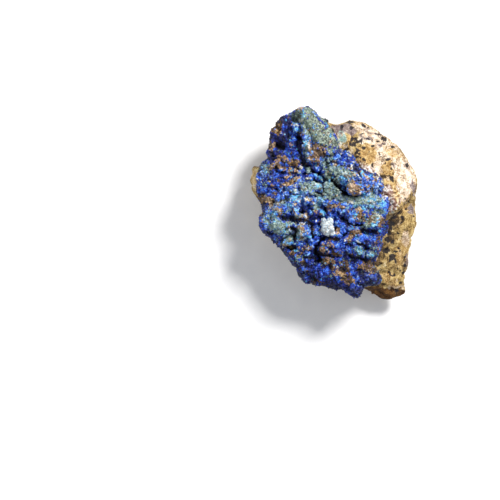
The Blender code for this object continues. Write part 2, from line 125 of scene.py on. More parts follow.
TURQUOISE = [
    # the slab and the hollow beside it
    (-5.6, 16.2, 0.22, 0.95, 0.95, 5), (-6.9, 13.5, 0.9, 0.5, 0.85, -25), (-1.6, 14.2, 0.3, 0.3, 0.7),
    (-4.6, 11.9, 0.6, 0.5, 0.5, -30), (-5.2, 10.8, 0.5, 0.8, 0.6),
    # the upper middle and the ridge
    (2.4, 9.1, 0.6, 0.3, 0.5, -20), (-2.8, 4.75, 0.9, 0.5, 0.55, -20), (1.5, 4.7, 0.5, 0.4, 0.8),
    (5.1, 5.2, 0.4, 0.5, 0.7), (6.7, 5, 0.3, 0.5, 0.5, -40), (2.3, 4.4, 0.3, 0.8, 0.6),
    (-2.8, 3.2, 0.5, 0.5, 0.6), (2.1, 3.4, 0.9, 0.35, 0.8, -40),
    # the upper left
    (-12.6, 5.8, 0.45, 0.45, 0.7),
    # the left side
    (-5.7, 1.9, 0.6, 0.35, 0.6), (-6.9, 1.1, 0.8, 0.4, 0.95), (-8.4, -0.3, 0.5, 0.4, 0.85),
    (-7.5, 0.2, 0.35, 1, 0.8, -15), (-6.5, -1.3, 0.4, 0.35, 0.8), (-10.9, -1.9, 0.5, 0.6, 0.9),
    (-8.9, -5.1, 0.25, 0.95, 0.95, -18), (-6.4, -6.5, 0.4, 0.35, 0.7), (-8, -7.4, 0.7, 0.22, 0.95, 15),
    # the middle
    (-2.6, 0.6, 0.9, 0.4, 0.7, -10), (-2.8, -0.1, 0.8, 0.4, 0.8), (2.6, -0.9, 0.6, 0.35, 0.6),
    (-2.1, -1.5, 0.45, 0.35, 0.9, -30), (-1.9, -2, 0.3, 0.4, 0.7), (-4.7, -6.1, 0.45, 0.22, 0.95, 10),
    (-2.7, -5.75, 0.45, 0.25, 0.9),
    # the right side
    (7, 2.3, 0.6, 0.4, 0.6), (5.6, 1.45, 0.9, 0.35, 0.7, -5), (6.6, 0.6, 1.7, 0.6, 0.4, -15),
    (6.6, -0.5, 0.8, 0.35, 0.6), (7.5, 0.1, 0.6, 0.3, 0.9), (8.8, -0.1, 0.6, 0.7, 0.85),
    (4.3, -0.55, 1, 0.3, 0.95), (5.5, -1, 0.5, 0.35, 0.7), (3.7, -2.1, 0.45, 0.5, 0.85),
    (3.9, -3.1, 0.5, 0.35, 0.5), (7.2, -4.1, 0.4, 0.35, 0.9), (7.8, -3.5, 1.15, 0.25, 0.9, 47),
    (4.2, -6.3, 0.35, 0.3, 0.7), (6.2, -5.7, 0.8, 0.35, 0.7, -30), (7.6, -6.5, 0.25, 0.5, 0.5),
    # the lower end
    (-1.1, -8.5, 0.3, 0.25, 0.9), (1.4, -7.9, 0.5, 0.3, 0.7), (-7, -8.6, 0.5, 0.25, 0.7),
    (4.9, -8.9, 0.9, 0.6, 0.45, -35), (-7.2, -10.2, 0.35, 0.5, 0.8), (1.2, -10.4, 0.3, 0.22, 0.9),
    (6.5, -9.5, 0.8, 0.4, 0.6), (-5.4, -12.1, 0.25, 0.25, 0.8), (-3.4, -13.4, 0.3, 0.25, 0.6),
]
LIMONITE = [
    # the slab and the hollow beside it
    (-6.3, 17.3, 0.55, 0.35, 0.9), (-9.9, 14.6, 0.35, 0.7, 0.8, -25), (-10.7, 13.3, 0.9, 1.4, 1, -28),
    (-9.1, 12.8, 0.3, 0.2, 0.7), (-6.9, 12.6, 0.3, 0.25, 0.7), (-6.2, 12.6, 0.4, 0.3, 0.9),
    (-0.4, 13.4, 0.8, 0.12, 0.8, -53), (-7.8, 10.6, 0.2, 0.3, 0.8), (-11.3, 10.4, 0.5, 0.75, 0.95),
    (-4.3, 10.4, 0.3, 0.6, 0.6), (-3.2, 9.5, 1.2, 0.9, 0.85, -20),
    # the upper middle and the ridge
    (-3.6, 8.3, 1.1, 0.35, 0.8, 10), (-3.4, 7.5, 0.6, 0.5, 0.6), (0.2, 7.4, 0.35, 0.3, 0.95),
    (2.8, 6.4, 0.3, 0.25, 0.9), (3.2, 4.1, 0.9, 0.4, 0.6, -50), (5.2, 3.9, 1.8, 1.1, 0.28, -30),
    (6, 4.5, 0.25, 0.4, 0.7), (8.1, 4, 0.6, 0.9, 0.6, 40), (-5.6, 2.6, 0.5, 0.3, 0.5, 30),
    (3.6, 2.7, 1.1, 0.85, 0.9, -20),
    # the upper left
    (-10.3, 7.5, 0.35, 0.7, 0.92, -15), (-9.9, 8.3, 0.35, 0.3, 0.9), (-9.1, 8, 0.6, 0.42, 0.95),
    (-11.3, 6.7, 0.55, 0.4, 0.95), (-10, 6.7, 0.6, 0.3, 0.92, -15), (-7.4, 7.2, 0.7, 0.65, 0.92),
    (-8.95, 5.5, 0.2, 0.6, 0.9, 15), (-8.8, 6.35, 0.8, 0.2, 0.9, -10), (-8, 5.6, 0.2, 0.7, 0.85),
    (-6.9, 5.9, 0.3, 0.35, 0.8), (-8.6, 4.75, 0.35, 0.3, 0.9), (-10.1, 4.15, 0.28, 0.15, 0.9),
    (-8.1, 3.8, 1.4, 0.45, 0.97, 28),
    # the left side
    (-10.65, 1.6, 0.35, 0.45, 0.9), (-9.5, 1.8, 0.3, 0.25, 0.8), (-12.2, 0.6, 1.2, 0.5, 1, -3),
    (-13.4, 0.4, 0.45, 1.1, 1, -20), (-11.5, -0.3, 0.3, 0.4, 0.9), (-6.7, 0.2, 0.45, 0.6, 0.5),
    (-10.2, -1.2, 0.5, 0.25, 0.85), (-13, -2.3, 0.25, 0.9, 0.6), (-9.9, -2.2, 0.22, 0.5, 0.85),
    (-7.3, -1.5, 0.22, 0.55, 0.85, 15), (-6.2, -2.4, 0.8, 0.5, 0.4), (-5.4, -3, 0.8, 0.35, 0.6, -10),
    (-5.9, -4.9, 0.45, 0.8, 0.6, 10), (-11.7, -6.35, 0.7, 0.22, 0.8, -25), (-5.8, -6.4, 0.5, 0.35, 0.6),
    (-8.8, -7.8, 0.4, 0.2, 0.7),
    # the middle
    (-4.75, 0.75, 0.5, 0.33, 0.9, -25), (-3.65, 0.15, 0.28, 0.2, 0.9), (0.5, -0.45, 0.5, 0.28, 0.9),
    (-3.1, -1.45, 0.35, 0.15, 0.85), (-0.9, -0.6, 0.5, 0.55, 0.9), (-0.5, -1.15, 0.3, 0.2, 0.9),
    (1.4, -0.55, 0.7, 0.22, 0.98, -10), (1.5, -1, 0.6, 0.28, 0.95, -15), (-5, -2.4, 0.35, 0.45, 0.85),
    (-3.85, -5.3, 0.2, 0.7, 0.7), (0.5, -4.9, 0.4, 0.6, 0.9), (-3.6, -6.4, 0.25, 0.3, 0.6),
    (0.3, -6.4, 0.3, 0.2, 0.8), (2.95, -6.3, 0.32, 0.85, 1, -25), (-0.4, -6.75, 0.5, 0.2, 0.8, 20),
    # the right side
    (6.6, 2.2, 0.25, 0.2, 0.95), (9.2, 1.9, 0.5, 0.8, 0.5), (4.4, -1.15, 0.4, 0.42, 0.97),
    (4.75, -2.05, 0.5, 0.75, 0.97, 8), (6.4, -2.6, 1, 0.8, 0.75, 15), (8.7, -3.4, 0.35, 0.6, 0.95, -40),
    (8, -4.2, 0.3, 0.18, 0.9, 30), (3.9, -5.45, 1, 0.45, 1, 8),
    # the lower end
    (8.1, -7.2, 0.3, 1, 0.6), (-5, -8.3, 1, 0.35, 0.65, 5), (-2.1, -8.2, 0.3, 0.8, 0.95, -12),
    (-1.3, -8.2, 1.1, 0.8, 0.6), (-1, -7.5, 1.1, 0.22, 0.85), (-7.5, -9.15, 0.5, 0.35, 0.9),
    (-6, -9.4, 0.7, 0.25, 0.8, 20), (0.2, -9.1, 1, 0.3, 1, -28), (-0.6, -9.85, 1, 0.18, 0.9, -12),
    (-5.85, -10.85, 0.35, 0.4, 0.9), (-1, -10.55, 0.95, 0.42, 1, -8), (1.9, -10.8, 0.7, 0.4, 0.9),
    (2.3, -11.2, 0.4, 0.2, 0.95, 10), (-0.3, -11.8, 0.45, 0.35, 0.95, 30), (0.3, -12.5, 0.25, 0.6, 0.8),
    (1.7, -12.1, 0.9, 0.65, 1), (5, -11.5, 0.6, 0.38, 0.95), (6.6, -11.5, 1.2, 0.8, 1, -10),
    (6.6, -12.5, 0.7, 0.35, 0.9), (-4.75, -12.9, 0.2, 0.3, 0.9), (1.4, -13, 0.8, 0.5, 0.95, -30),
    (-3.1, -14.4, 0.9, 0.3, 0.6, -10), (2.2, -13.6, 0.85, 0.9, 0.95, -30), (3.4, -14.2, 0.35, 0.6, 0.97),
    (2.4, -14.7, 0.7, 0.22, 0.9, -10),
]
PALE = [
    # the slab and the hollow beside it
    (-5.9, 15, 0.5, 0.3, 0.6), (-7, 14, 0.7, 0.25, 0.8), (-5.3, 11.2, 0.22, 0.2, 1),
    (-4.6, 10.2, 0.18, 0.5, 1), (1.45, 9.35, 0.15, 0.4, 1, 35),
    # the upper middle and the ridge
    (2.7, 8.9, 0.6, 0.35, 0.6, -20), (3.5, 7.5, 0.4, 0.25, 0.9), (-6.1, 6.5, 0.28, 0.42, 1, -35),
    (3.2, 6.5, 0.2, 0.45, 0.95, -10), (-4.6, 4.65, 0.5, 0.22, 0.95, 10), (2.1, 5.4, 0.5, 0.4, 0.5),
    (4.35, 5, 0.14, 0.5, 1, 20), (4.85, 4.45, 0.45, 0.16, 1, -35), (8.2, 4.2, 0.5, 0.8, 0.6, 40),
    (-3.5, 3.15, 0.25, 0.2, 1),
    # the upper left
    (-7.2, 3.2, 0.5, 0.25, 0.9, 20), (-6.8, 2.5, 0.5, 0.3, 0.6, 20),
    # the left side
    (-9.5, 0.55, 0.35, 0.3, 0.9, 40), (-10.3, 0.1, 0.8, 0.3, 0.95, 10), (-11.1, -0.7, 0.5, 0.5, 0.5),
    (-6, -3.75, 0.25, 0.2, 0.9), (-5.6, -5.4, 0.6, 0.7, 0.45, 15), (-5.5, -6.4, 0.5, 0.25, 0.5),
    (-7.8, -6.7, 0.35, 0.4, 0.4),
    # the middle
    (-4.9, 0.75, 0.45, 0.3, 0.9, -20), (2.9, 0.1, 0.6, 0.25, 0.97, -15), (-1.9, -5.4, 0.4, 0.45, 1),
    (1.9, -6.7, 0.35, 0.2, 0.8),
    # the right side
    (3.45, 2.35, 0.3, 0.25, 0.95), (9.2, 1.5, 0.4, 1, 0.7), (7, 1, 0.9, 0.5, 0.25, -25),
    (7, 0.2, 0.6, 0.3, 0.35), (7.2, -0.1, 0.5, 0.2, 0.8), (4.3, -0.8, 0.5, 0.25, 0.8),
    (8.2, -2.4, 0.25, 0.8, 0.6, 40), (7.1, -3.3, 0.45, 0.35, 0.7, 20),
    # the lower end
    (4.3, -7, 0.42, 0.18, 1, -25), (-0.2, -10, 0.9, 0.15, 0.6, -15), (-0.5, -11.5, 0.3, 0.3, 0.5),
    (0.6, -11.7, 0.25, 0.22, 0.9), (4.9, -14.5, 0.25, 0.25, 0.7),
]
# Where azurite grows alone.
AZURITE_ONLY = [
    # the slab and the hollow beside it
    (-2.4, 15, 1.6, 0.2, 1, -53), (-8.7, 14, 0.9, 0.8, 0.7), (0.1, 12.9, 0.2, 1.1, 1, 15),
    (-11.5, 11.6, 0.4, 0.7, 0.9), (-11.2, 12, 0.7, 0.9, 1), (-9.6, 11.3, 1.4, 1.2, 0.8),
    # the upper middle and the ridge
    (1.2, 8.3, 1.3, 1.1, 0.9, -20), (8, 3, 0.7, 0.9, 0.5),
    # the upper left
    (-10.4, 5.3, 0.8, 0.7, 1), (-8.6, 4.3, 0.6, 0.4, 0.6, 20),
    # the left side
    (-9.3, 1.4, 1.3, 0.8, 0.8, 20), (-5.5, -0.1, 0.7, 0.5, 0.9),
    # the middle
    (0.5, -3.5, 0.5, 0.9, 0.9), (-2.9, -4.9, 0.6, 0.8, 0.7),
    # the right side
    (6.1, -2.1, 0.6, 0.5, 0.9), (5.9, -6.6, 1.4, 0.5, 0.5, -20),
    # the lower end
    (8, -7.2, 0.35, 1.3, 0.5, 10), (1.5, -7.6, 0.9, 1.1, 0.7), (-3.8, -12.3, 2.4, 1.3, 0.7, -10),
    (-1.6, -12.4, 1, 0.7, 0.8), (3.5, -12.4, 0.6, 1.2, 1, 25), (0.9, -14, 1.3, 0.22, 1, -33),
    (5.8, -13.6, 2, 1, 0.9), (0.4, -15.2, 2.8, 0.8, 0.9, -8), (3.9, -15.9, 1.3, 1.1, 0.9),
]

# Where the crust is lighter, partly as painted light; where it is deep and dark, partly as painted shade;
# and where the azurite is dulled grey-blue, partly by a dusting and partly by a painted sheen.
BRIGHT_AND_PAINTED_LIGHT = [
    # the slab and the hollow beside it
    (-6, 15.1, 0.8, 0.7, 1), (-2.4, 15, 1.6, 0.25, 1, -53), (-8.8, 13.8, 0.8, 0.5, 0.6),
    (-5, 14.3, 0.7, 0.8, 0.8), (-0.9, 14.1, 0.3, 0.6, 1, 30), (-7, 13.2, 0.9, 0.5, 0.9, -25),
    (0.1, 12.9, 0.25, 0.9, 1, 15), (-9, 12.4, 1.2, 0.3, 0.4), (-4.8, 12.2, 0.9, 1.5, 0.9, 25),
    (-4, 12, 0.7, 1.1, 1), (-11.7, 11.2, 0.35, 0.9, 0.5), (-4.6, 10.9, 0.7, 1.1, 1),
    (-3.8, 11, 0.5, 0.5, 1), (-8.2, 9.7, 0.8, 0.7, 0.6), (-3.4, 9.5, 0.9, 0.8, 1),
    (-5.7, 9.4, 0.6, 0.9, 0.6),
    # the upper middle and the ridge
    (-4.1, 7.9, 0.5, 0.4, 0.8), (-1.9, 8.3, 0.5, 0.3, 0.6), (-1, 8.1, 0.6, 0.8, 0.9),
    (0.2, 8.2, 0.8, 0.6, 0.9), (1.4, 8.3, 1.1, 0.9, 1, -20), (1.5, 8.1, 1.2, 1, 1, -20),
    (-3, 7.2, 0.7, 0.6, 0.8), (-2.6, 7.2, 0.35, 0.7, 0.7), (-0.1, 7.3, 0.8, 0.4, 0.7, 20),
    (3.5, 7.4, 0.7, 0.5, 1), (-6.1, 5.5, 0.8, 0.6, 0.8), (-2.6, 6.2, 0.7, 0.5, 0.7),
    (-2.8, 4.75, 1, 0.6, 1, -20), (0.4, 5.4, 0.9, 0.5, 1, -30), (1, 5, 0.8, 0.5, 1),
    (1.9, 5.4, 0.9, 0.6, 1), (2.3, 5.1, 1.4, 0.8, 1, -20), (-4.1, 3.9, 0.8, 0.5, 1),
    (-1.9, 4.2, 0.9, 0.6, 1), (0.7, 4, 0.6, 0.6, 1), (1.9, 3.6, 1.1, 0.5, 1, -40),
    (2.3, 4.3, 0.7, 0.8, 0.9), (5.6, 4, 2.2, 1.2, 0.55, -30), (-2.9, 3, 0.8, 0.7, 1), (8, 3, 0.9, 0.7, 1),
    (-6.1, 2.5, 0.7, 0.5, 1), (7.1, 2.5, 0.9, 0.7, 1),
    # the upper left
    (-9.2, 7, 0.6, 0.3, 0.9), (-13.5, 6.4, 0.4, 0.4, 0.8), (-9.4, 6.2, 0.6, 0.45, 1),
    (-8.6, 5.6, 0.35, 0.5, 0.8), (-10.4, 5.3, 0.8, 0.6, 0.25), (-13.8, 4.2, 0.5, 1, 0.7),
    (-9.9, 2.6, 0.8, 0.6, 0.9), (-7.2, 3.2, 0.7, 0.5, 1),
    # the left side
    (-13.2, 2.4, 0.6, 0.4, 0.8), (-11.6, 2.4, 0.9, 0.6, 0.6), (-8.4, 2.3, 0.8, 0.5, 0.8),
    (-6.3, 1.6, 2.3, 1.3, 0.9, 10), (-9.4, 1.3, 1.2, 0.8, 0.75, 20), (-8.9, 0.6, 0.6, 0.6, 0.8),
    (-5.5, 0.6, 0.6, 0.9, 0.8), (-10.1, 0.1, 0.9, 0.6, 1), (-7.7, -0.5, 0.7, 0.5, 0.9),
    (-5.3, -0.1, 0.7, 0.4, 0.7), (-10.9, -0.7, 0.9, 0.6, 1), (-6.9, -1.4, 0.9, 0.6, 1),
    (-11.8, -2, 1.1, 1.5, 0.9), (-11.4, -2.3, 0.8, 0.8, 0.9), (-10, -3.3, 0.8, 0.35, 0.8),
    (-6.6, -2.7, 0.5, 0.4, 0.8), (-6.5, -3, 0.5, 0.4, 1), (-8, -4.5, 0.4, 0.3, 0.7),
    (-7.2, -4, 0.7, 0.4, 1), (-11.6, -5, 0.6, 0.4, 0.5), (-9.5, -5.5, 0.7, 0.6, 0.9),
    (-5.7, -6.4, 0.9, 0.5, 0.9), (-10.2, -6.9, 0.6, 1, 0.6, 20), (-6.5, -6.6, 0.6, 0.8, 1),
    (-6.4, -7.1, 0.7, 0.4, 0.8), (-5.9, -6.6, 0.8, 0.6, 1),
    # the middle
    (-4.6, 0.8, 0.9, 0.6, 1, -20), (-4, -0.5, 0.3, 0.3, 0.7), (-3, -0.3, 0.8, 0.5, 1),
    (-2.8, 0.4, 0.9, 0.5, 1, -10), (-2, -0.3, 1, 0.6, 0.6), (1.6, 0.4, 1.3, 0.8, 1),
    (-0.8, -1, 0.7, 0.6, 1), (-0.6, -2.3, 0.7, 0.45, 1), (0.6, -2.5, 0.8, 0.5, 0.9),
    (-5, -2.6, 0.7, 0.6, 0.8), (-0.6, -2.6, 0.7, 0.4, 0.9), (0.3, -3.8, 0.5, 0.6, 0.9),
    (1.3, -4.5, 0.8, 0.7, 0.5), (-4.9, -4.9, 0.4, 0.6, 0.8), (-3.2, -4.9, 0.7, 0.7, 0.7),
    (0.6, -5.9, 0.8, 0.6, 0.8), (2.4, -6, 0.8, 1, 0.7), (-3.7, -6.9, 1.1, 0.35, 0.8, 5),
    # the right side
    (5.6, 1.6, 1.1, 0.6, 1), (7, 2.3, 1, 0.8, 0.9), (7.4, 0.6, 1.4, 0.9, 0.7, -20),
    (4.2, 0.5, 3.4, 0.7, 0.45, -3), (6.6, -0.5, 1.2, 0.5, 1), (7.4, 0.1, 0.9, 0.5, 1),
    (8.6, 0, 0.9, 1.2, 0.9), (3.4, -0.7, 1.4, 0.5, 1), (4.3, -0.8, 1.1, 0.5, 1),
    (6, -1.5, 1.4, 0.35, 0.9, 15), (3.6, -2.6, 0.6, 0.9, 0.7), (5.4, -2.6, 0.45, 0.6, 0.9),
    (7.8, -3.6, 1.3, 0.5, 1, 47), (6.3, -5.8, 1, 0.5, 1, -30), (4.4, -6.6, 1, 0.4, 0.8, -10),
    (7.7, -6.7, 0.35, 0.8, 0.8),
    # the lower end
    (-2.3, -7.4, 0.6, 0.3, 0.8, 30), (-3.8, -7.7, 0.4, 0.25, 0.8), (-2.8, -8.3, 0.5, 0.35, 0.9, -30),
    (1.2, -7.6, 1, 1.2, 0.5), (8.2, -8, 0.4, 0.7, 0.7), (-0.6, -9, 0.9, 0.4, 0.9),
    (-4.6, -10.7, 1.2, 0.3, 0.6, -5), (2.3, -10.6, 0.8, 0.5, 0.5), (5.5, -10.8, 0.6, 0.2, 0.8),
    (-5, -12, 0.9, 0.5, 0.4), (-1.6, -12.4, 0.9, 0.6, 0.9, -20), (3.5, -12.3, 0.6, 1, 0.35, 25),
    (4, -13.4, 0.25, 0.5, 0.5), (-5.5, -14.2, 0.4, 0.4, 0.8), (-2.3, -14.2, 0.5, 0.35, 0.6),
    (0.9, -14, 1.2, 0.4, 1, -33),
]
# Deep blue azurite, and painted shade: shadows under the overhang and ledges, below the white patch and
# by the slab's rim.
NAVY_AND_PAINTED_SHADE = [
    # the slab and the hollow beside it
    (-8.7, 15, 1.3, 0.9, 0.75, -35), (-7.2, 15.3, 0.6, 1.4, 0.55, 10), (-2, 15.1, 1.3, 0.4, 0.6, -53),
    (-8.6, 13.9, 0.8, 0.7, 0.8), (-2.1, 14.1, 2.3, 1, 1, -45), (-9.5, 12.6, 0.9, 0.5, 0.6),
    (-11.2, 12, 0.6, 0.8, 1), (-6.2, 11.8, 0.6, 0.3, 1, -25), (-1, 12, 1.6, 1.2, 1, -45),
    (-9.4, 11.3, 1.5, 1.2, 0.95), (-7.6, 10.8, 0.6, 0.8, 0.6), (-6.3, 10.6, 0.6, 0.9, 0.7),
    (-0.4, 10.6, 0.9, 1.9, 0.9), (-9.8, 10, 1.2, 0.6, 0.8), (-7.5, 9.7, 0.7, 0.7, 0.8),
    (-0.4, 9.8, 0.9, 0.8, 0.9), (-10.3, 9.1, 1, 0.7, 1), (-6.4, 9, 0.5, 1.2, 0.8),
    (-6.2, 9, 0.7, 1.8, 0.4, 8),
    # the upper middle and the ridge
    (-5.6, 7.6, 0.4, 1, 0.8), (-0.5, 7.5, 0.4, 0.15, 0.9, 30), (-4.3, 6.9, 0.8, 0.4, 0.6),
    (-1.1, 6.7, 0.4, 0.18, 1), (1.6, 6.8, 0.3, 0.25, 1), (2.6, 6.85, 0.25, 0.15, 1),
    (-3.9, 5.7, 0.35, 0.6, 0.9, 30), (3.2, 5.8, 0.45, 0.15, 1, -25), (3.9, 6.4, 0.6, 0.5, 0.7),
    (4.6, 5.2, 0.2, 0.4, 1, 20), (5.9, 3.7, 0.7, 0.5, 0.5), (-2, 2.8, 0.15, 0.9, 0.8),
    (0.9, 2.6, 2.2, 0.25, 1, -44), (-2.8, 2.5, 0.6, 0.5, 0.7),
    # the upper left
    (-11.4, 8.5, 1, 0.9, 1), (-9, 7.5, 0.9, 0.2, 1), (-6.8, 7.7, 0.7, 0.6, 0.9),
    (-6.9, 6.7, 0.5, 0.3, 0.6), (-11.9, 5.9, 0.7, 0.7, 0.8), (-10.6, 6.5, 0.3, 0.5, 1),
    (-10, 5.7, 0.7, 0.3, 0.4, -20), (-11.7, 5.2, 0.8, 0.7, 1), (-10.8, 4.6, 0.9, 0.8, 0.55),
    (-9.6, 4.7, 0.5, 0.3, 0.8), (-11.4, 2.95, 1.1, 0.18, 0.9, -12),
    # the left side
    (-13, 1.5, 0.8, 0.2, 0.9), (-12.2, -0.2, 0.7, 0.3, 0.7, -20), (-11, 0.2, 0.25, 0.3, 1),
    (-5.8, -1.4, 0.35, 0.6, 0.9), (-5.5, -0.8, 1, 0.3, 0.2), (-8.1, -2.8, 1.6, 0.5, 0.6, -6),
    (-5.4, -4.5, 0.5, 0.5, 0.4), (-12.4, -5.4, 1, 0.4, 0.8, -20), (-7.4, -4.7, 0.8, 0.4, 1),
    (-9, -6.3, 0.9, 0.2, 1, 35), (-7, -5.9, 0.25, 1.1, 1), (-7.9, -8, 0.8, 0.4, 1),
    # the middle
    (-3.4, 2.3, 0.6, 0.6, 0.7), (-2.6, 1.6, 0.6, 0.2, 1, -25), (-0.6, 0.55, 0.7, 0.18, 0.8),
    (-4.1, -1.3, 0.2, 0.55, 1), (1.5, -1, 0.5, 0.25, 0.9, -15), (-3.5, -2.5, 0.9, 0.7, 0.7),
    (-1.45, -1.6, 0.95, 0.22, 1, -60), (0, -1.8, 1.2, 0.6, 0.6, -20), (1.4, -2.9, 0.6, 0.8, 0.8, -20),
    (2.2, -3.3, 0.25, 0.6, 1, 30), (-3.6, -3.6, 1, 0.5, 0.7), (-4, -5, 0.2, 1, 0.8),
    (-1, -6.15, 0.8, 0.2, 1), (-3.2, -6.6, 0.6, 0.5, 0.7), (-2.3, -6.9, 0.6, 0.4, 1),
    # the right side
    (3.8, 1.35, 1.1, 0.2, 1), (6.1, -2.1, 0.6, 0.5, 0.3), (6.7, -1.95, 0.7, 0.2, 0.7, 10),
    (3.6, -3.95, 1.7, 0.25, 1, -8), (6.6, -4.95, 1.4, 0.25, 1), (5.8, -6.7, 0.9, 0.5, 0.7),
    # the lower end
    (-3.3, -8.5, 0.4, 1.1, 1), (-2.6, -7.5, 1.4, 0.4, 0.6), (0.8, -8.3, 0.9, 0.5, 0.7),
    (2.4, -7.6, 0.3, 0.3, 0.9), (5, -8.3, 0.8, 0.4, 0.8), (5.2, -7.6, 1, 0.35, 1),
    (7.4, -7.8, 0.7, 0.6, 1), (-9, -8.6, 0.7, 0.7, 0.5, -40), (-1.4, -9.45, 1.6, 0.22, 0.95, -8),
    (5.8, -8.9, 0.15, 1, 1), (7.2, -8.6, 0.9, 0.6, 1), (-4.6, -9.9, 1.3, 0.5, 0.6, -10),
    (4.2, -9.9, 2, 0.55, 0.85, -8), (-2.2, -10.7, 0.5, 0.5, 0.9), (-2.1, -11.4, 0.8, 0.6, 1),
    (1.4, -10.6, 0.8, 0.5, 0.8), (-6.9, -11.6, 0.6, 0.5, 0.8), (-4, -12.4, 3.2, 2.2, 0.5, -10),
    (1.8, -12, 0.9, 0.6, 0.8), (2.8, -13.2, 0.8, 0.6, 0.7), (5, -12.7, 1, 0.6, 0.9),
    (6.6, -12.6, 0.7, 0.5, 1), (-0.9, -13.5, 1.2, 0.7, 0.6, -20), (6.4, -13.7, 2.1, 1.1, 1),
    (0.4, -14.8, 3, 1.2, 0.7, -8), (4, -15.7, 1.2, 1.2, 0.9),
]
# Grey-blue azurite: partly a dusting, partly a painted sheen.
DUSTY_AND_PAINTED_SHEEN = [
    # the slab and the hollow beside it
    (-4.8, 10.6, 1, 2.4, 0.6),
    # the upper middle and the ridge
    (-1.4, 8, 1.4, 1.8, 0.45), (4.4, 4, 3.6, 1.7, 0.45, -30), (7.6, 2.6, 1.3, 0.8, 0.9, 20),
    # the upper left
    (-12.6, 6.2, 1.4, 1.2, 0.7), (-12.2, 4.6, 1.2, 1.2, 0.3),
    # the left side
    (-8.6, 2.3, 1.2, 0.5, 0.9), (-7.2, 0.9, 2.8, 1.9, 0.7, 20), (-11.6, -1.6, 2.2, 2.4, 0.6),
    (-11.4, -2.3, 0.8, 0.8, 0.7), (-5.8, -4, 1.8, 2.4, 0.6, 15), (-9.6, -4.6, 3, 1.3, 0.8, -10),
    (-5.7, -6.5, 0.7, 0.5, 0.9),
    # the middle
    (-2.2, 2.4, 4.4, 1.8, 0.8), (-2.9, -0.1, 0.8, 0.5, 0.9), (2.2, -1.8, 1.6, 1.2, 0.45),
    (-5, -2.6, 0.7, 0.6, 0.9), (2.6, -3.2, 1, 0.8, 0.5), (-3.4, -5.8, 1.4, 1.6, 0.3),
    # the right side
    (5, 0.6, 4.2, 1.2, 0.8, -4), (6.8, -0.3, 0.9, 0.4, 0.8), (7.4, 0.1, 0.9, 0.6, 0.8),
    (3.4, -4.6, 1.4, 0.6, 0.6),
    # the lower end
    (5.4, -8.8, 1.9, 1.1, 0.6, -10), (7.9, -9.8, 0.9, 1.4, 0.6), (-5.6, -13, 1.6, 1.6, 0.25),
    (6.4, -13.6, 2, 1.2, 0.7), (3.8, -15.6, 1.4, 1.4, 0.55),
]

# Where the malachite is olive, and where the limonite is yellow, creamy or deep brown.
OLIVE = [
    (-3, 13.7, 5.2, 2.3, 1, -45), (-0.6, 10.2, 0.8, 2.2, 0.7), (-0.6, 5.2, 1.4, 0.9, 0.5, -30),
    (6.5, -2.8, 1.5, 1.2, 0.8, 25),
]
YELLOW = [
    (-10.6, 13.3, 1.3, 1.9, 1, -25), (-9.1, 8, 0.7, 0.5, 0.9), (-7.4, 7.2, 0.8, 0.7, 1),
    (-8.5, 5.4, 0.9, 1.2, 0.8), (-8, 3.8, 1.6, 0.6, 0.6, 28), (-13.4, 0.4, 0.4, 1.2, 0.9),
    (-12.4, 0.4, 1.2, 0.6, 0.5), (-4.4, 0.5, 1.2, 0.6, 0.8, -25), (-2.9, -1.5, 0.6, 0.4, 0.8),
    (4.3, 2.1, 0.4, 0.3, 0.8), (4.7, -1.9, 0.6, 1, 0.7), (8.5, -3.6, 0.7, 0.8, 1),
    (3.6, -5.8, 1.2, 0.9, 0.6), (0.2, -9.1, 1, 0.3, 0.9, -28), (-6.6, -9.8, 1.6, 1.4, 0.7),
    (-1, -10.6, 1.1, 0.4, 0.9, -8), (6, -11.5, 1.8, 0.9, 0.4), (2.2, -13, 2, 1.8, 0.8, -30),
]
CREAMY = [
    # the slab and the hollow beside it
    (-6.3, 17.3, 0.6, 0.5, 0.9), (-4.3, 10.4, 0.4, 0.7, 1),
    # the upper middle and the ridge
    (0.2, 7.4, 0.5, 0.4, 0.9), (6, 4.5, 0.4, 0.5, 1), (3.4, 2.9, 0.9, 0.7, 0.8, -20),
    # the upper left
    (-6.9, 5.9, 0.4, 0.4, 0.8), (-8.6, 4.75, 0.5, 0.4, 0.8), (-10.1, 4.15, 0.4, 0.3, 1),
    (-7, 4.5, 0.6, 0.5, 0.8, 30), (-8.6, 3.2, 0.9, 0.4, 1, 10),
    # the left side
    (-12.1, 0.6, 1.2, 0.6, 1), (-11.5, -0.3, 0.4, 0.5, 1), (-6.7, 0.2, 0.6, 0.8, 1),
    (-10.2, -1.2, 0.6, 0.4, 0.9), (-13, -2.3, 0.4, 1, 0.8),
    # the middle
    (-4.8, 0.75, 0.7, 0.5, 1, -25), (-3.65, 0.15, 0.4, 0.3, 1), (-0.8, -0.8, 0.6, 0.5, 0.8),
    (-0.5, -1.15, 0.4, 0.3, 0.8), (1.4, -0.55, 0.8, 0.3, 1, -10), (-5, -2.4, 0.5, 0.6, 1),
    (-0.4, -6.75, 0.6, 0.3, 0.6, 20),
    # the right side
    (6.6, 2.2, 0.4, 0.3, 1), (4.4, -1.1, 0.6, 0.5, 1),
    # the lower end
    (1.2, -12.9, 0.5, 0.4, 0.6, -30),
]
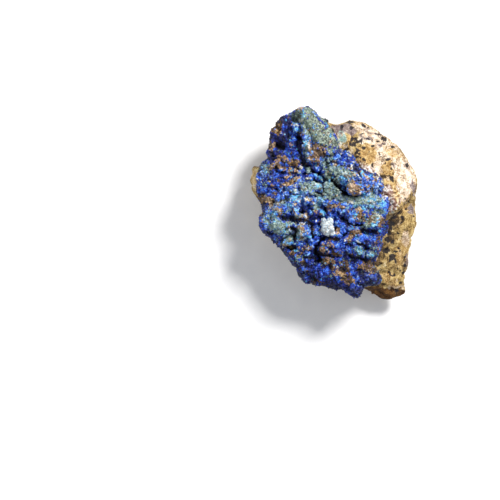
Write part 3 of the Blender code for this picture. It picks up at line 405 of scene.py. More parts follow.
DEEP = [
    # the slab and the hollow beside it
    (-9.8, 14.9, 0.5, 0.8, 1, -25), (-10.3, 13.8, 0.8, 1.6, 0.4, -28), (-6.6, 12.6, 0.9, 0.4, 0.5),
    # the upper left
    (-7.3, 7.3, 0.7, 0.6, 0.5),
    # the left side
    (-13.5, 0.2, 0.4, 0.8, 0.6, -20), (-7.3, -1.5, 0.3, 0.6, 0.8, 15), (-5.4, -3.1, 0.9, 0.5, 0.6, -10),
    (-11.7, -6.4, 0.8, 0.3, 1, -25), (-5.8, -6.4, 0.6, 0.4, 0.6),
    # the middle
    (1.5, -1.05, 0.8, 0.35, 1, -15),
    # the right side
    (4.2, 2, 0.5, 0.4, 0.7), (6.4, -2.6, 1.1, 0.9, 0.6, 15), (8.7, -3.4, 0.5, 0.8, 1, -40),
    (3.4, -5.9, 1.3, 1, 0.8),
    # the lower end
    (8.1, -7.2, 0.4, 1.1, 0.9), (-4.6, -8.4, 0.7, 0.4, 0.5), (-2.1, -8.3, 0.4, 0.9, 0.8, -12),
    (0.2, -9.1, 1.1, 0.35, 1, -28), (-6.6, -9.6, 1.6, 0.9, 0.7), (-0.6, -9.85, 1.1, 0.25, 0.9, -12),
    (-5.9, -10.9, 0.5, 0.5, 1), (-1, -10.55, 1.2, 0.5, 1, -8), (1.9, -10.8, 0.8, 0.5, 1),
    (1.8, -12.1, 1, 0.7, 1), (5, -11.5, 0.8, 0.5, 0.6), (6.7, -11.5, 1.3, 0.9, 1, -10),
    (-3.1, -14.4, 1, 0.4, 0.8, -10), (2.4, -13.7, 0.8, 0.9, 0.7, -30),
]

# Where the crust is knobbly, where it is nearly flat, and where it has winding ridges.
KNOBBLY = [
    (0, 2.6, 2.4, 1.9, 1, -10), (-4, 2.9, 2.2, 1.3, 0.8, 5), (-0.4, 5.2, 1.8, 1, 1, -40),
    (1.4, 8.3, 1.9, 1.5, 1, -20), (-4.2, -11.8, 3, 2.6, 1, -10), (-5.4, -7.6, 2.2, 1.4, 0.8, 24),
    (-3, -3.6, 1.8, 2.2, 0.9), (-11, 3.6, 2.2, 2.4, 0.7), (-12.4, 6.3, 1.4, 1.2, 0.7),
    (7.4, 2.8, 1.6, 1.4, 0.8), (7.6, -13.4, 1.6, 1.2, 0.7),
]
SMOOTH_SLAB = [
    (-3, 13.7, 5.2, 2.3, 1, -45), (-0.6, 10.2, 0.8, 2.2, 0.7), (4.4, 0.5, 4, 1, 0.9, -4),
    (6.5, -2.8, 1.5, 1.2, 0.8, 25),
]
WINDING = [
    (-8.9, 6.6, 2.8, 2.2, 1), (-8, 3.8, 2.4, 0.9, 0.8, 28), (-3.2, 9.2, 1.8, 1.4, 0.9, -20),
    (2.2, -13, 2, 1.6, 1, -30),
]

# Mounds that fill gaps between the solid's lumps. In place of a strength they have their top's height.
MOUNDS = [
    # the slab and the hollow beside it
    (-6.9, 13.6, 1, 0.7, 15, -25), (-5, 12.5, 0.8, 1.7, 16.4, 25), (-4.8, 10.8, 0.8, 1.4, 16, 10),
    (-7.2, 9.2, 1, 1, 14.4), (-5.9, 9.3, 0.9, 2, 14.5, 8),
    # the upper middle and the ridge
    (-1.1, 8.1, 0.7, 0.7, 16.2), (0.2, 8.2, 0.9, 0.7, 16.6), (-3.1, 6.6, 1, 0.8, 15.2),
    (-6.1, 5.5, 0.9, 0.7, 14.2), (-4.7, 5.85, 0.6, 0.55, 14.8), (4, 6.5, 0.8, 0.5, 14.6, -30),
    (-4.6, 4.7, 1, 0.4, 15.3, 5), (7.3, 5, 0.8, 0.6, 15.6, -40), (-2.5, 4.5, 1.1, 0.75, 15.4, -15),
    (0.9, 3.9, 0.7, 0.5, 16.3, -40),
    # the upper left
    (-9.6, 6.2, 0.8, 0.7, 14.3),
    # the left side
    (-8.8, 1.5, 0.9, 0.8, 14.9), (-6.8, 2.2, 1.1, 0.8, 15.6, 20), (-5.4, -0.8, 0.8, 0.5, 14.4),
    (-6.7, -1.5, 0.8, 0.8, 15), (-5.7, -2.4, 1.2, 0.6, 14.6, -15), (-6.6, -6.8, 0.7, 0.7, 13.9),
    # the middle
    (0.55, 2.35, 1.4, 1, 16.2, -45), (-4.6, 0.6, 1.4, 0.8, 16, -25), (0.7, 1.4, 0.8, 0.7, 15.9),
    (1.8, 0.75, 1.5, 0.6, 15.7, -6), (-2.7, 0.5, 1, 0.7, 15.9, -10), (-0.8, -1, 0.7, 0.7, 14.4),
    (-2.5, -1.5, 0.9, 0.9, 15.2), (-0.7, -2.1, 0.9, 0.5, 15.2, -15), (0, -1.6, 1, 0.8, 15.1, -20),
    (0.6, -2.4, 0.8, 0.6, 14.6), (-3.4, -3, 0.9, 1, 14.4), (0.8, -3.5, 0.6, 1.1, 15.3),
    (1.4, -4.4, 0.9, 1, 15.2), (-3, -4.95, 0.9, 0.95, 15.1), (-2, -5.4, 0.6, 0.6, 15.3),
    (0.6, -5.7, 0.8, 0.6, 15), (2.9, -6.4, 0.5, 1, 14.9, -25), (-3.7, -6.9, 1, 0.45, 14.8, 5),
    # the right side
    (5.8, 1.6, 0.9, 0.6, 16.1), (3.6, 0.6, 1.9, 0.8, 16, -4), (7.6, 0.8, 1.3, 0.8, 16.1, -20),
    (5.6, 0.5, 2.2, 0.9, 16.2, -4), (3.6, -4.7, 1.1, 0.5, 15, -5), (3.8, -5.6, 1.2, 0.6, 15, 5),
    # the lower end
    (-4.3, -7.9, 0.9, 0.7, 14.6), (-1.3, -8.3, 1.1, 0.85, 15), (6.6, -9.2, 1, 0.8, 14.4),
    (-6.5, -10.2, 0.8, 0.8, 13.6), (6.6, -13.4, 1.2, 0.9, 13.4), (3.9, -15.3, 0.9, 1, 13.4),
]

# Where the steep sides stand out to meet the photograph's outline. In place of a strength they have
# how far, which is below 0 where they stand in.
CRUST_EDGES = [
    (0.8, 12.6, 1.4, 3, -0.6, 30), (1.4, 10.4, 1, 1, -0.5), (5.7, -15.7, 1, 1, -0.5),
    (-7.4, -12.4, 0.9, 1.2, -0.4, 30), (-4.2, -14.4, 1.8, 0.7, 0.3), (-12.9, 8.3, 0.9, 0.7, -0.5),
    (-2.2, 16, 1.1, 1.1, -0.3), (10.3, -1.3, 0.9, 0.9, -0.4), (-13.3, 6.6, 1, 0.7, 0.55),
]
ROCK_EDGES = [
    (10.8, -16.6, 2.8, 1.3, 0.5), (12.7, -15.6, 0.9, 1.4, 0.3), (-13.6, 7.2, 1.4, 0.9, -0.4, -30),
]

# Dark clefts and pits of the crust: half the width, the depth, and the places that each runs through.
CLEFTS = [
    # the slab and the hollow beside it
    (0.3, 0.9, (-6.6, 12), (-6, 11.8), (-5.7, 11.5)), (0.15, 0.5, (-3.6, 11.2), (-3, 10.8), (-1.6, 10.2)),
    (0.45, 0.8, (-10.2, 10.4), (-9.4, 10.1)),
    (0.18, 0.35, (-6.5, 9.6), (-6.2, 8.6), (-5.8, 7.6), (-5.4, 7)),
    (0.15, 0.5, (-2.5, 10.2), (-1.9, 9.4), (-1.7, 8.7)), (0.5, 0.8, (-11.4, 9.1), (-11.2, 8.5)),
    # the upper middle and the ridge
    (0.2, 0.6, (-4.9, 6.8), (-4.1, 6.1), (-3.7, 5.4), (-2.5, 5.4), (-1.9, 4.8), (-1.1, 4.2)),
    (0.16, 0.6, (-1.4, 6.7), (-0.8, 6.65)), (0.13, 0.5, (-0.8, 7.3), (-0.2, 7.7)),
    (0.22, 0.8, (1.3, 6.8), (1.75, 6.7)), (0.13, 0.6, (2.5, 6.85), (2.8, 6.8)),
    (0.13, 0.6, (2.8, 5.95), (3.5, 5.6)), (0.28, 0.5, (3.7, 6.5), (4.3, 6.2)),
    (0.16, 0.7, (4.5, 5.5), (4.7, 5), (5.1, 4.6)), (0.14, 0.5, (0.1, 5.2), (0, 4.4)),
    (0.11, 0.7, (-2.1, 3.8), (-1.9, 2.9), (-2, 1.9)),
    (0.28, 1.8, (-0.3, 4.1), (0.5, 3.3), (1.3, 2.5), (2.2, 1.7), (2.7, 1.45)),
    (0.13, 0.5, (4.1, 4.4), (4.6, 4.1), (5.3, 4.1)),
    # the upper left
    (0.14, 0.5, (-9.7, 7.9), (-9.35, 7.45), (-8.9, 7.3), (-8.3, 7.35), (-8, 7.7)),
    (0.22, 0.7, (-10.6, 6.7), (-10.5, 6.2)), (0.2, 0.5, (-9.9, 4.7), (-9.2, 4.4)),
    (0.14, 0.5, (-12.3, 3.1), (-11.4, 2.9), (-10.3, 2.4)),
    # the left side
    (0.16, 0.6, (-13.5, 1.8), (-12.9, 1.4), (-12.2, 2)), (0.2, 0.5, (-11.1, 0.3), (-10.9, 0)),
    (0.24, 0.6, (-5.9, -1.1), (-5.6, -1.8)), (0.22, 0.6, (-9.1, -2), (-8.6, -2.1)),
    (0.36, 0.35, (-9.2, -2.7), (-8.1, -2.9)), (0.25, 0.5, (-12.2, -5.3), (-11, -5.7)),
    (0.36, 1, (-7.9, -4.6), (-6.8, -4.8)), (0.22, 0.9, (-6.9, -5), (-7, -6.3)),
    (0.15, 0.7, (-9.6, -6.9), (-8.6, -6.2), (-7.9, -5.6)), (0.4, 1, (-8.2, -7.9), (-7.4, -8.1)),
    # the middle
    (0.15, 0.9, (-3.1, 1.9), (-2.5, 1.6), (-2, 1.4)), (0.13, 0.5, (-1.3, 0.65), (-0.6, 0.5), (0, 0.75)),
    (0.15, 0.8, (2.7, 1.4), (3.6, 1.15), (4.6, 1.35)), (0.17, 0.9, (-4.2, -0.9), (-4, -1.8)),
    (0.17, 1.1, (-1.95, -0.8), (-1.5, -1.5), (-1, -2.4)),
    (0.2, 1.1, (1.6, -2.6), (2.2, -3.2), (2.7, -3.8), (3.8, -4.05), (5, -4)),
    (0.15, 0.6, (-4.2, -3.8), (-4, -5), (-4.1, -6)),
    (0.26, 1.2, (-1.9, -6.5), (-2.5, -7), (-3.3, -7.9), (-3.3, -8.9), (-2.9, -9.6), (-2.2, -10.8)),
    (0.18, 0.7, (-1.6, -6.1), (-0.7, -6.1)),
    # the right side
    (0.2, 0.5, (5.3, -4.7), (6.4, -5), (7.8, -5)),
    # the lower end
    (0.2, 0.6, (2.2, -7.7), (2.6, -7.4)), (0.24, 1.1, (4.2, -7.5), (5.2, -7.6), (5.9, -7.9)),
    (0.14, 1.1, (5.8, -7.8), (5.8, -9.9)),
    (0.17, 0.8, (-2.9, -9.4), (-1.5, -9.5), (0.2, -9.9), (0.9, -9.9)),
    (0.13, 0.5, (-2.6, -8.9), (-1.6, -8.9), (-0.6, -8.6)), (0.24, 0.5, (-5.4, -9.9), (-4, -10)),
    (0.28, 0.8, (2.8, -9.6), (4.2, -9.9), (5.6, -10.2)), (0.15, 0.5, (-4.2, -11.4), (-3.4, -11.2)),
    (0.14, 0.4, (-2.8, -12.4), (-2.6, -13.2)), (0.28, 0.5, (1.3, -11.9), (2.3, -12.2)),
    (0.2, 0.5, (4.3, -12.1), (5.4, -12.2)), (0.15, 0.5, (-6, -12.8), (-4.9, -12.6), (-3.6, -12.5)),
    (0.15, 0.5, (-4.2, -13), (-4, -14.2)), (0.15, 0.4, (1.7, -13.3), (2.6, -13.3)),
    (0.15, 0.4, (2.9, -14.9), (3, -16)),
]

# The rock's colours, its rough druse and its brown end.
CREAM = [
    (1, 12, 0.9, 2.1, 1, -5), (5.5, 11.5, 1.3, 0.7, 1, -20), (7.2, 12.4, 4.4, 1.5, 0.8, -32),
    (2.3, 10.3, 0.5, 0.5, 0.7), (2.9, 9.3, 0.6, 0.5, 1), (10.2, 9.4, 5, 5.6, 0.75, -30),
    (8.1, 7.6, 0.8, 2.6, 0.9, 5), (5.9, 6.4, 1.6, 0.5, 1, -35), (6.4, 6.2, 1.6, 0.6, 0.9, -40),
    (12.9, 5.4, 2.2, 3.6, 1, 10), (-14.1, 3.6, 0.6, 1.2, 0.6), (12.4, 2.2, 1.5, 2.2, 1),
    (10.2, -1.5, 0.5, 0.5, 0.8), (13.1, -6.5, 0.8, 1.6, 0.7), (11.3, -14.2, 0.3, 0.5, 0.9),
    (11, -15.3, 1.2, 0.4, 0.8, -10), (12.6, -15.3, 0.8, 0.6, 0.6),
]
OCHRE = [
    (4.6, 14.5, 1.2, 0.3, 0.6, -10), (6.3, 13, 0.9, 0.4, 0.6, -30), (2.8, 11.2, 0.5, 1.4, 0.95, -10),
    (10.6, 10.1, 0.5, 0.3, 0.8), (6, 8.9, 1.9, 2, 0.85, -20), (10.4, 9.2, 1.6, 0.7, 0.6, -20),
    (12, 8.4, 0.8, 0.9, 0.5), (5.9, 7.3, 1.2, 0.5, 0.8, -10), (6.8, 7, 0.8, 0.5, 0.6, -30),
    (9.6, 6.2, 1.1, 1.5, 0.9, -10), (10.4, 5.2, 0.7, 0.6, 0.8), (-14.5, 4.8, 0.9, 1.4, 1),
    (9.8, 3.8, 0.8, 0.35, 0.8, -30), (11.1, 4, 0.7, 0.6, 0.55), (11.1, 2.4, 0.45, 1.8, 1, 30),
    (11.2, 1.4, 0.8, 0.6, 0.6), (11.3, 1.2, 0.4, 1.4, 0.9, 10), (12.7, -0.9, 0.8, 0.8, 0.9),
    (14.3, -1, 0.5, 0.8, 0.7), (12.2, -9.5, 1.2, 3, 0.5), (9.7, -13.3, 0.9, 1.1, 1),
    (10.4, -14.6, 1.4, 0.7, 0.6),
]
RUST = [
    (3.1, 11.5, 0.3, 0.9, 0.85, -10), (6.4, 8.8, 0.8, 1, 0.3), (9.7, 6.4, 0.6, 1, 0.4, -10),
    (10.7, 5.6, 0.2, 0.6, 0.8, 20), (8.7, 4.8, 0.5, 0.5, 1), (9.6, 2.8, 0.5, 0.4, 1, -30),
    (9.9, 2.7, 0.8, 0.8, 0.85), (10.5, 0.8, 1.4, 1.6, 0.55), (14.6, 0.3, 0.5, 1, 0.4),
    (11.3, -2, 1.1, 0.6, 1, 40), (11, -3.2, 1.1, 0.9, 1), (12.4, -3.1, 0.3, 0.6, 0.9),
    (11.2, -4.3, 0.6, 0.4, 0.7), (10.1, -5.4, 0.7, 2.2, 0.85, 10), (9.4, -8, 0.9, 1.2, 0.5),
    (12.8, -9.2, 0.5, 0.5, 0.4), (8.2, -9.6, 0.4, 0.6, 0.8), (8.9, -10.2, 0.8, 1, 0.55),
    (9.7, -10.5, 0.5, 0.6, 0.5), (8, -10.8, 0.5, 0.9, 0.9), (12.9, -11.3, 0.5, 2, 0.6, 5),
    (12.5, -13.4, 0.5, 0.6, 0.4), (8.6, -14.8, 0.4, 0.4, 0.8),
]
AQUA = [
    (1.7, 11.7, 0.5, 0.65, 0.9), (10.4, 0.5, 0.32, 0.35, 1), (8.2, -12, 0.5, 0.8, 0.3, 20),
    (1.2, 11.8, 0.6, 1.7, 0.55), (6, 6.3, 1.5, 0.4, 0.45, -40), (10.3, -1.3, 0.6, 0.5, 0.5),
]
# Grey patches: partly the stone's own grey, partly painted shade on its shaded edges and sides.
GREY_AND_PAINTED_SHADE = [
    (1.2, 14.1, 1.6, 0.65, 1, 8), (2.4, 13.5, 0.9, 0.7, 0.7, 20), (1, 13.4, 0.9, 0.7, 1),
    (3.2, 13, 0.9, 0.8, 0.8), (6.3, 13, 0.9, 0.45, 0.6, -35), (7.6, 12.6, 1.2, 0.25, 0.7, -35),
    (5.8, 11.9, 1.6, 0.35, 0.8, -25), (8.9, 10.7, 1.1, 0.25, 0.8, 5), (10.9, 7, 0.5, 0.3, 0.6),
    (13.3, 6.6, 0.8, 1.1, 0.45), (14.6, 2.6, 0.5, 2, 0.9, 12), (13.8, -0.9, 0.5, 0.8, 0.8),
    (14.3, -1.2, 0.5, 0.9, 0.8), (14.8, -1.8, 0.4, 1.4, 0.5), (13.4, -11, 0.5, 2.4, 0.7),
]
DRUSE = [(10.2, 1, 1.7, 2.1, 1), (6.3, 6.1, 1.9, 0.6, 0.9, -40)]
# The brown end: its own brown, and painted shade on the face that turns down, away from the light.
BROWN_AND_PAINTED_SHADE_END = [(9.5, -17.9, 7.5, 2.6, 1, -6)]
# Where the rock is whiter still, also on its side at the left: partly its own colour, and partly painted
# light on the lit edge at the right and on the dim side at the left.
WHITER_AND_PAINTED_LIGHT = [
    (-14.5, 4.4, 1.1, 1.9, 1), (5.8, 11.4, 1, 0.5, 0.7, -20), (13.5, 5, 0.5, 1.3, 0.8, 20),
    (12.6, 3.4, 0.6, 0.8, 0.5),
]

# Which of the rock's tones each list of patches lays over the stone.
ROCK_PATCHES = {"cream": CREAM, "warm": OCHRE, "rust": RUST, "aqua": AQUA, "grey": GREY_AND_PAINTED_SHADE}

# Black manganese spots on the rock. They have no strength.
SPOTS = [
    (2.7, 14.7, 0.9, 0.28, 5), (3.2, 13.6, 0.38, 0.32), (1.4, 13.8, 0.3, 0.4), (4.1, 14.9, 0.3, 0.15),
    (5.4, 14.1, 0.48, 0.28, -40), (6.3, 13.6, 0.42, 0.2, -50), (8.4, 12.5, 0.36, 0.3),
    (7.6, 12.6, 0.25, 0.15), (9.1, 11.6, 0.48, 0.36, -20), (8.8, 12, 0.2, 0.2),
    (6.3, 11.6, 0.45, 0.15, -20), (5.1, 12.6, 0.28, 0.14), (8, 11.2, 0.3, 0.15), (9.2, 10.7, 0.4, 0.1),
    (3.2, 11.6, 0.25, 0.42, 10), (3.9, 11.7, 0.28, 0.34), (4.9, 11.3, 0.3, 0.45),
    (4.3, 11.1, 0.52, 0.24, 20), (3.6, 10.7, 0.42, 0.4), (3, 10.6, 0.2, 0.3), (7, 10.4, 0.36, 0.2),
    (5.3, 10, 0.42, 0.26), (5.9, 10, 0.16, 0.16), (4.3, 9.7, 0.6, 0.2, -30), (4, 9.2, 0.3, 0.22, 40),
    (2.2, 9.7, 0.55, 0.26, 30), (4.6, 8.9, 0.22, 0.22), (4.2, 8.4, 0.3, 0.24), (4.8, 8.3, 0.22, 0.18),
    (5.4, 7.9, 0.48, 0.24, -35), (6.4, 9.3, 0.13, 0.13), (6.95, 6.8, 0.19, 0.52), (8.3, 8.9, 0.17, 0.15),
    (7.9, 9.6, 0.14, 0.14), (9.8, 7.9, 0.55, 0.22, 15), (10.7, 10.2, 0.36, 0.24), (10.5, 7, 0.36, 0.12),
    (10.4, 6.2, 0.14, 0.32), (9.3, 7.2, 0.14, 0.2), (13.3, 6.9, 0.32, 0.36), (10.5, 4.4, 0.32, 0.62, 25),
    (9.8, 5, 0.3, 0.14), (12.95, 0.8, 0.16, 0.24), (13.6, 0.3, 0.14, 0.26), (13.9, 1.3, 0.1, 0.3),
    (13.1, -1.1, 0.22, 0.2), (14.5, -2.4, 0.28, 0.16), (12.4, -2.6, 0.3, 0.22),
    (12.2, -3.6, 0.32, 0.14, 30), (11.6, -1.6, 0.3, 0.4, -30), (10.8, -2.4, 0.3, 0.34),
    (10.4, -3.6, 0.24, 0.34), (10.3, -4.7, 0.34, 0.22), (9.9, -5.4, 0.22, 0.4),
    (11.6, -5.5, 0.26, 0.14, -20), (9.7, -6.8, 0.34, 0.44), (10.6, -7.1, 0.28, 0.36),
    (9.4, -8.6, 0.8, 0.5), (11.7, -8.2, 0.24, 0.16), (11.2, -8.8, 0.34, 0.16), (12, -8.7, 0.22, 0.18),
    (10.6, -9.8, 0.5, 0.56), (11.2, -10.6, 0.22, 0.52, 20), (10.2, -10.3, 0.24, 0.3),
    (12.9, -9.8, 0.3, 0.2), (12.9, -11.4, 0.26, 0.3), (12.8, -12.8, 0.42, 0.3), (12.1, -12.3, 0.16, 0.16),
    (10.15, -12.8, 0.24, 0.5, 35), (10.9, -13.1, 0.26, 0.24), (12.15, -14.5, 0.3, 0.24),
    (11.4, -15.9, 0.4, 0.28), (11.6, -12, 0.18, 0.12), (9.6, -11.6, 0.16, 0.12),
    (11.2, -1.9, 0.9, 0.28, 38), (10.9, -2.6, 0.5, 0.3), (10.6, -3.8, 0.3, 0.4),
    (10.3, -4.7, 0.3, 0.35, 30), (10, -5.5, 0.3, 0.35), (9.6, -6.5, 0.35, 0.35),
]

# Each mineral of the crust: its patches, how much wider they reach than they were set, and how
# often a clump away from them is that mineral all the same.
MINERALS = {
    "malachite": (MALACHITE, 1.05, 0.06),
    "limonite": (LIMONITE, 1.33, 0.04),
    "turquoise": (TURQUOISE, 1.0, 0.04),
    "pale": (PALE, 1.0, 0.004),
}

# The shades of the minerals and of their second tones, from deep to pale, by their place on a ramp. The
# azurite's second tone is partly a grey-blue dusting and partly a painted sheen, and its pale end also
# gives its painted highlights.
TONES = {
    "azurite": {
        0.00: (4, 7, 48), 0.22: (9, 19, 98), 0.46: (20, 52, 168),
        0.66: (36, 98, 222), 0.84: (84, 152, 238), 1.00: (164, 206, 244),
    },
    "dusty_and_painted_sheen": {
        0.00: (14, 18, 32), 0.28: (50, 66, 92), 0.52: (98, 124, 160),
        0.74: (146, 174, 204), 1.00: (216, 228, 236),
    },
    "malachite": {
        0.00: (28, 36, 32), 0.26: (72, 84, 72), 0.50: (120, 136, 120),
        0.74: (166, 182, 166), 1.00: (220, 230, 216),
    },
    "cool": {
        0.00: (22, 36, 42), 0.26: (68, 96, 108), 0.50: (116, 154, 168),
        0.74: (160, 200, 214), 1.00: (212, 236, 240),
    },
    "turquoise": {
        0.00: (16, 50, 96), 0.35: (40, 120, 186), 0.60: (84, 178, 222), 1.00: (180, 228, 236),
    },
    "ice": {0.00: (60, 90, 130), 0.50: (132, 182, 228), 1.00: (214, 234, 248)},
    "limonite": {
        0.00: (32, 24, 24), 0.28: (84, 64, 50), 0.52: (140, 113, 90),
        0.76: (190, 161, 133), 1.00: (232, 218, 200),
    },
    "yellow": {
        0.00: (34, 24, 16), 0.30: (92, 66, 36), 0.55: (148, 112, 62),
        0.80: (196, 164, 108), 1.00: (228, 208, 168),
    },
    "pale": {
        0.00: (122, 126, 120), 0.40: (178, 182, 172), 0.70: (216, 218, 206), 1.00: (244, 244, 238),
    },
    "white": {
        0.00: (112, 130, 146), 0.40: (172, 188, 200), 0.70: (206, 218, 224), 1.00: (238, 244, 244),
    },
    "druse": {
        0.00: (66, 34, 28), 0.28: (124, 80, 70), 0.52: (164, 134, 120),
        0.78: (200, 188, 180), 1.00: (232, 232, 228),
    },
}
# Painted shade: the near-black blue laid over the crust's deepest hollows.
PAINTED_HOLLOW_SHADE = (7, 11, 34)  # the dark deep between the lumps

# The rock's shades: the stone's own, and those of the layers over it.
ROCK_TONES = {
    "ochre": {
        0.15: (84, 64, 34), 0.36: (136, 110, 62), 0.52: (173, 148, 95),
        0.72: (194, 172, 120), 0.90: (214, 200, 160),
    },
    "cream": {
        0.15: (124, 98, 72), 0.34: (172, 148, 122), 0.50: (204, 184, 160),
        0.70: (224, 212, 196), 0.90: (240, 236, 230),
    },
    "warm": {
        0.15: (100, 68, 30), 0.40: (156, 122, 70), 0.60: (190, 160, 106), 0.85: (216, 192, 146),
    },
    "rust": {0.15: (20, 14, 8), 0.42: (48, 36, 22), 0.66: (98, 76, 46), 0.90: (156, 126, 84)},
    "brown": {0.15: (34, 18, 8), 0.45: (76, 46, 18), 0.70: (106, 72, 30), 0.90: (140, 104, 56)},
    "grey": {
        0.15: (70, 56, 58), 0.45: (118, 102, 100), 0.70: (154, 142, 138), 0.90: (188, 178, 174),
    },
    "aqua": {0.20: (104, 132, 124), 0.50: (150, 178, 170), 0.80: (196, 208, 202)},
    "black": {0.20: (8, 6, 10), 0.80: (46, 40, 46)},
}
FLOOR_TONES = {0.30: (238, 238, 240), 0.70: (244, 244, 245)}


def colour(red, green, blue):
    """A screen colour from 0 to 255 as Blender's linear RGBA."""
    screen = np.array([red, green, blue]) / 255.0
    linear = np.where(screen <= 0.04045, screen / 12.92, ((screen + 0.055) / 1.055) ** 2.4)
    return (*linear.tolist(), 1.0)


# Fields of noise and patches, worked out at an array of places. A shift only sets one noise apart
# from another.

def noise_at(places, size, shift=0.0):
    """Smooth noise, mostly from -0.4 to 0.4, whose features have the given size."""
    return np.array([noise.noise(place) for place in (places / size + shift).tolist()])


def cells_at(places, size, shift):
    """How far each place is from the nearest cell centre, and from the border of its cell."""
    found = [noise.voronoi(place)[0] for place in (places / size + shift).tolist()]
    near, next_near = np.array([distances[:2] for distances in found]).T
    return near, next_near - near


def cell_number(places, size, shift):
    """A number from 0 to 1 that is the same all over the cell that a place is in."""
    centres = [noise.voronoi(place)[1][0] for place in (places / size + shift).tolist()]
    return np.array([0.5 + 0.5 * noise.cell(centre * 91.7) for centre in centres])


def facets_at(places, size, shift):
    """The height of flat chips, each tilted its own way, as broken stone has them."""
    heights = []
    for place in (places / size + shift).tolist():
        centre = noise.voronoi(place)[1][0]
        tilt = noise.cell_vector(centre * 53.1)
        heights.append((Vector(place) - centre).dot(tilt))
    return np.array(heights)


def step(low, high, values):
    """0 below low, 1 above high, and smooth between."""
    share = np.clip((values - low) / (high - low), 0.0, 1.0)
    return share * share * (3.0 - 2.0 * share)


def as_seen(places):
    """The places as they show from above in the photograph's frame, in which the patches are given."""
    scale = (CAMERA_HEIGHT - MIDDLE_HEIGHT) / (CAMERA_HEIGHT - places[:, 2])
    x = CAMERA_X + (places[:, 0] - CAMERA_X) * scale
    y = CAMERA_Y + (places[:, 1] - CAMERA_Y) * scale
    return np.stack([x, y, places[:, 2]], 1)


def ellipse_reach(places, x, y, across, along, turn=0.0):
    """How far each place is from an ellipse's middle, 1 on its edge."""
    angle = math.radians(turn)
    dx, dy = places[:, 0] - x, places[:, 1] - y
    u = dx * math.cos(angle) + dy * math.sin(angle)
    v = dy * math.cos(angle) - dx * math.sin(angle)
    return np.hypot(u / across, v / along)


def ragged(places, amount, size, shift):
    """The places pushed about by noise, so that a patch's edge isn't an ellipse."""
    push = [noise_at(places, size, shift + 31.0 * axis) for axis in (1, 2)]
    return places + amount * np.stack([*push, np.zeros(len(places))], 1)


def patch_field(places, patches, softness=0.3, wider=1.0):
    """The strength of the patches at each place, fading over each patch's rim."""
    field = np.zeros(len(places))
    for x, y, across, along, strength, *turn in patches:
        reach = ellipse_reach(places, x, y, across, along, *turn) / wider
        field = np.maximum(field, strength * (1.0 - step(1.0 - softness, 1.0 + softness, reach)))
    return field


def spot_field(places):
    """Above 0 inside a black spot, highest in its middle, and below 0 outside."""
    field = np.full(len(places), -1.0)
    for spot in SPOTS:
        field = np.maximum(field, 1.15 - ellipse_reach(places, *spot))
    return field


def edge_shift(seen, edges, shift):
    """The given outward shift of the sides at each place, and what the edges' patches add to it."""
    total = np.full(len(seen), shift)
    for x, y, across, along, amount, *turn in edges:
        total += amount * (1.0 - step(0.6, 1.2, ellipse_reach(seen, x, y, across, along, *turn)))
    return total


def mound_height(places):
    """The height of the mounds at each place, and 0 away from them."""
    moved = ragged(as_seen(places), 0.5, 0.9, 27.0)
    height = np.zeros(len(places))
    for x, y, across, along, top, *turn in MOUNDS:
        reach = ellipse_reach(moved, x, y, across, along, *turn)
        fall = min(across, along) * (0.4 * reach ** 2 + 0.6 * reach ** 6)
        height = np.maximum(height, top - fall)
    return height


def reach_of_line(places, points):
    """How far each place is in plan from a line through the points."""
    nearest = np.full(len(places), np.inf)
    for start, end in zip(np.array(points[:-1]), np.array(points[1:])):
        way = end - start
        along = np.clip((places[:, :2] - start) @ way / (way @ way), 0.0, 1.0)
        gone = places[:, :2] - start - along[:, None] * way
        nearest = np.minimum(nearest, np.hypot(*gone.T))
    return nearest


def cleft_depth(places):
    """How deep the clefts cut at each place."""
    moved = ragged(as_seen(places), 0.18, 0.6, 17.0)
    depth = np.zeros(len(places))
    for half_width, deepest, *points in CLEFTS:
        share = 1.0 - step(0.35, 1.25, reach_of_line(moved, points) / half_width)
        depth = np.maximum(depth, deepest * share)
    return depth


def mineral_fields(places):
    """Where each mineral is on the crust, 0 or 1 by clumps, and how much lighter, deeper and duller it
    is, partly by painted light, shade and sheen.
    """
    moved = ragged(as_seen(places), 0.35, 0.6, 4.0)
    fields = {}
    room = 1.0 - patch_field(moved, AZURITE_ONLY)
    for number, (name, (patches, wider, stray)) in enumerate(MINERALS.items()):
        share = np.maximum(patch_field(moved, patches, 0.3, wider), stray)
        fields[name] = step(-0.05, 0.05, share * room - cell_number(places, CLUMP, 10.0 * number))
    fields["bright"] = patch_field(moved, BRIGHT_AND_PAINTED_LIGHT, 0.6)
    fields["navy"] = patch_field(moved, NAVY_AND_PAINTED_SHADE, 0.5)
    fields["dusty_and_painted_sheen"] = patch_field(moved, DUSTY_AND_PAINTED_SHEEN, 0.6)
    fields["shade"] = patch_field(moved, CREAMY) - patch_field(moved, DEEP)
    fields["slab"] = patch_field(moved, SMOOTH_SLAB)
    fields["olive"] = patch_field(moved, OLIVE)
    fields["clump"] = cell_number(places, CLUMP, 77.0)
    fields["wide"] = noise_at(places, 1.4, 50.0)
    return fields


# Meshes.

def link(obj):
    """Puts an object in the scene."""
    bpy.context.scene.collection.objects.link(obj)
    return obj


def read(items, name, width, kind=float):
    """One property of all of a mesh's items, as an array with a row for each."""
    values = np.empty(len(items) * width, dtype=np.float32 if kind is float else np.int32)
    items.foreach_get(name, values)
    return values.reshape(-1, width).astype(kind)


def places_of(mesh):
    """The vertices' places in millimetres."""
    return read(mesh.vertices, "co", 3) / MM


def move_to(mesh, places):
    """Moves the vertices, and gives their new normals."""
    mesh.vertices.foreach_set("co", (places * MM).astype(np.float32).ravel())
    mesh.update()
    return read(mesh.vertex_normals, "vector", 3)


def note(mesh, name, values):
    """Stores a number for each vertex, for the materials to read."""
    attribute = mesh.attributes.new(name, "FLOAT", "POINT")
    attribute.data.foreach_set("value", values.astype(np.float32))


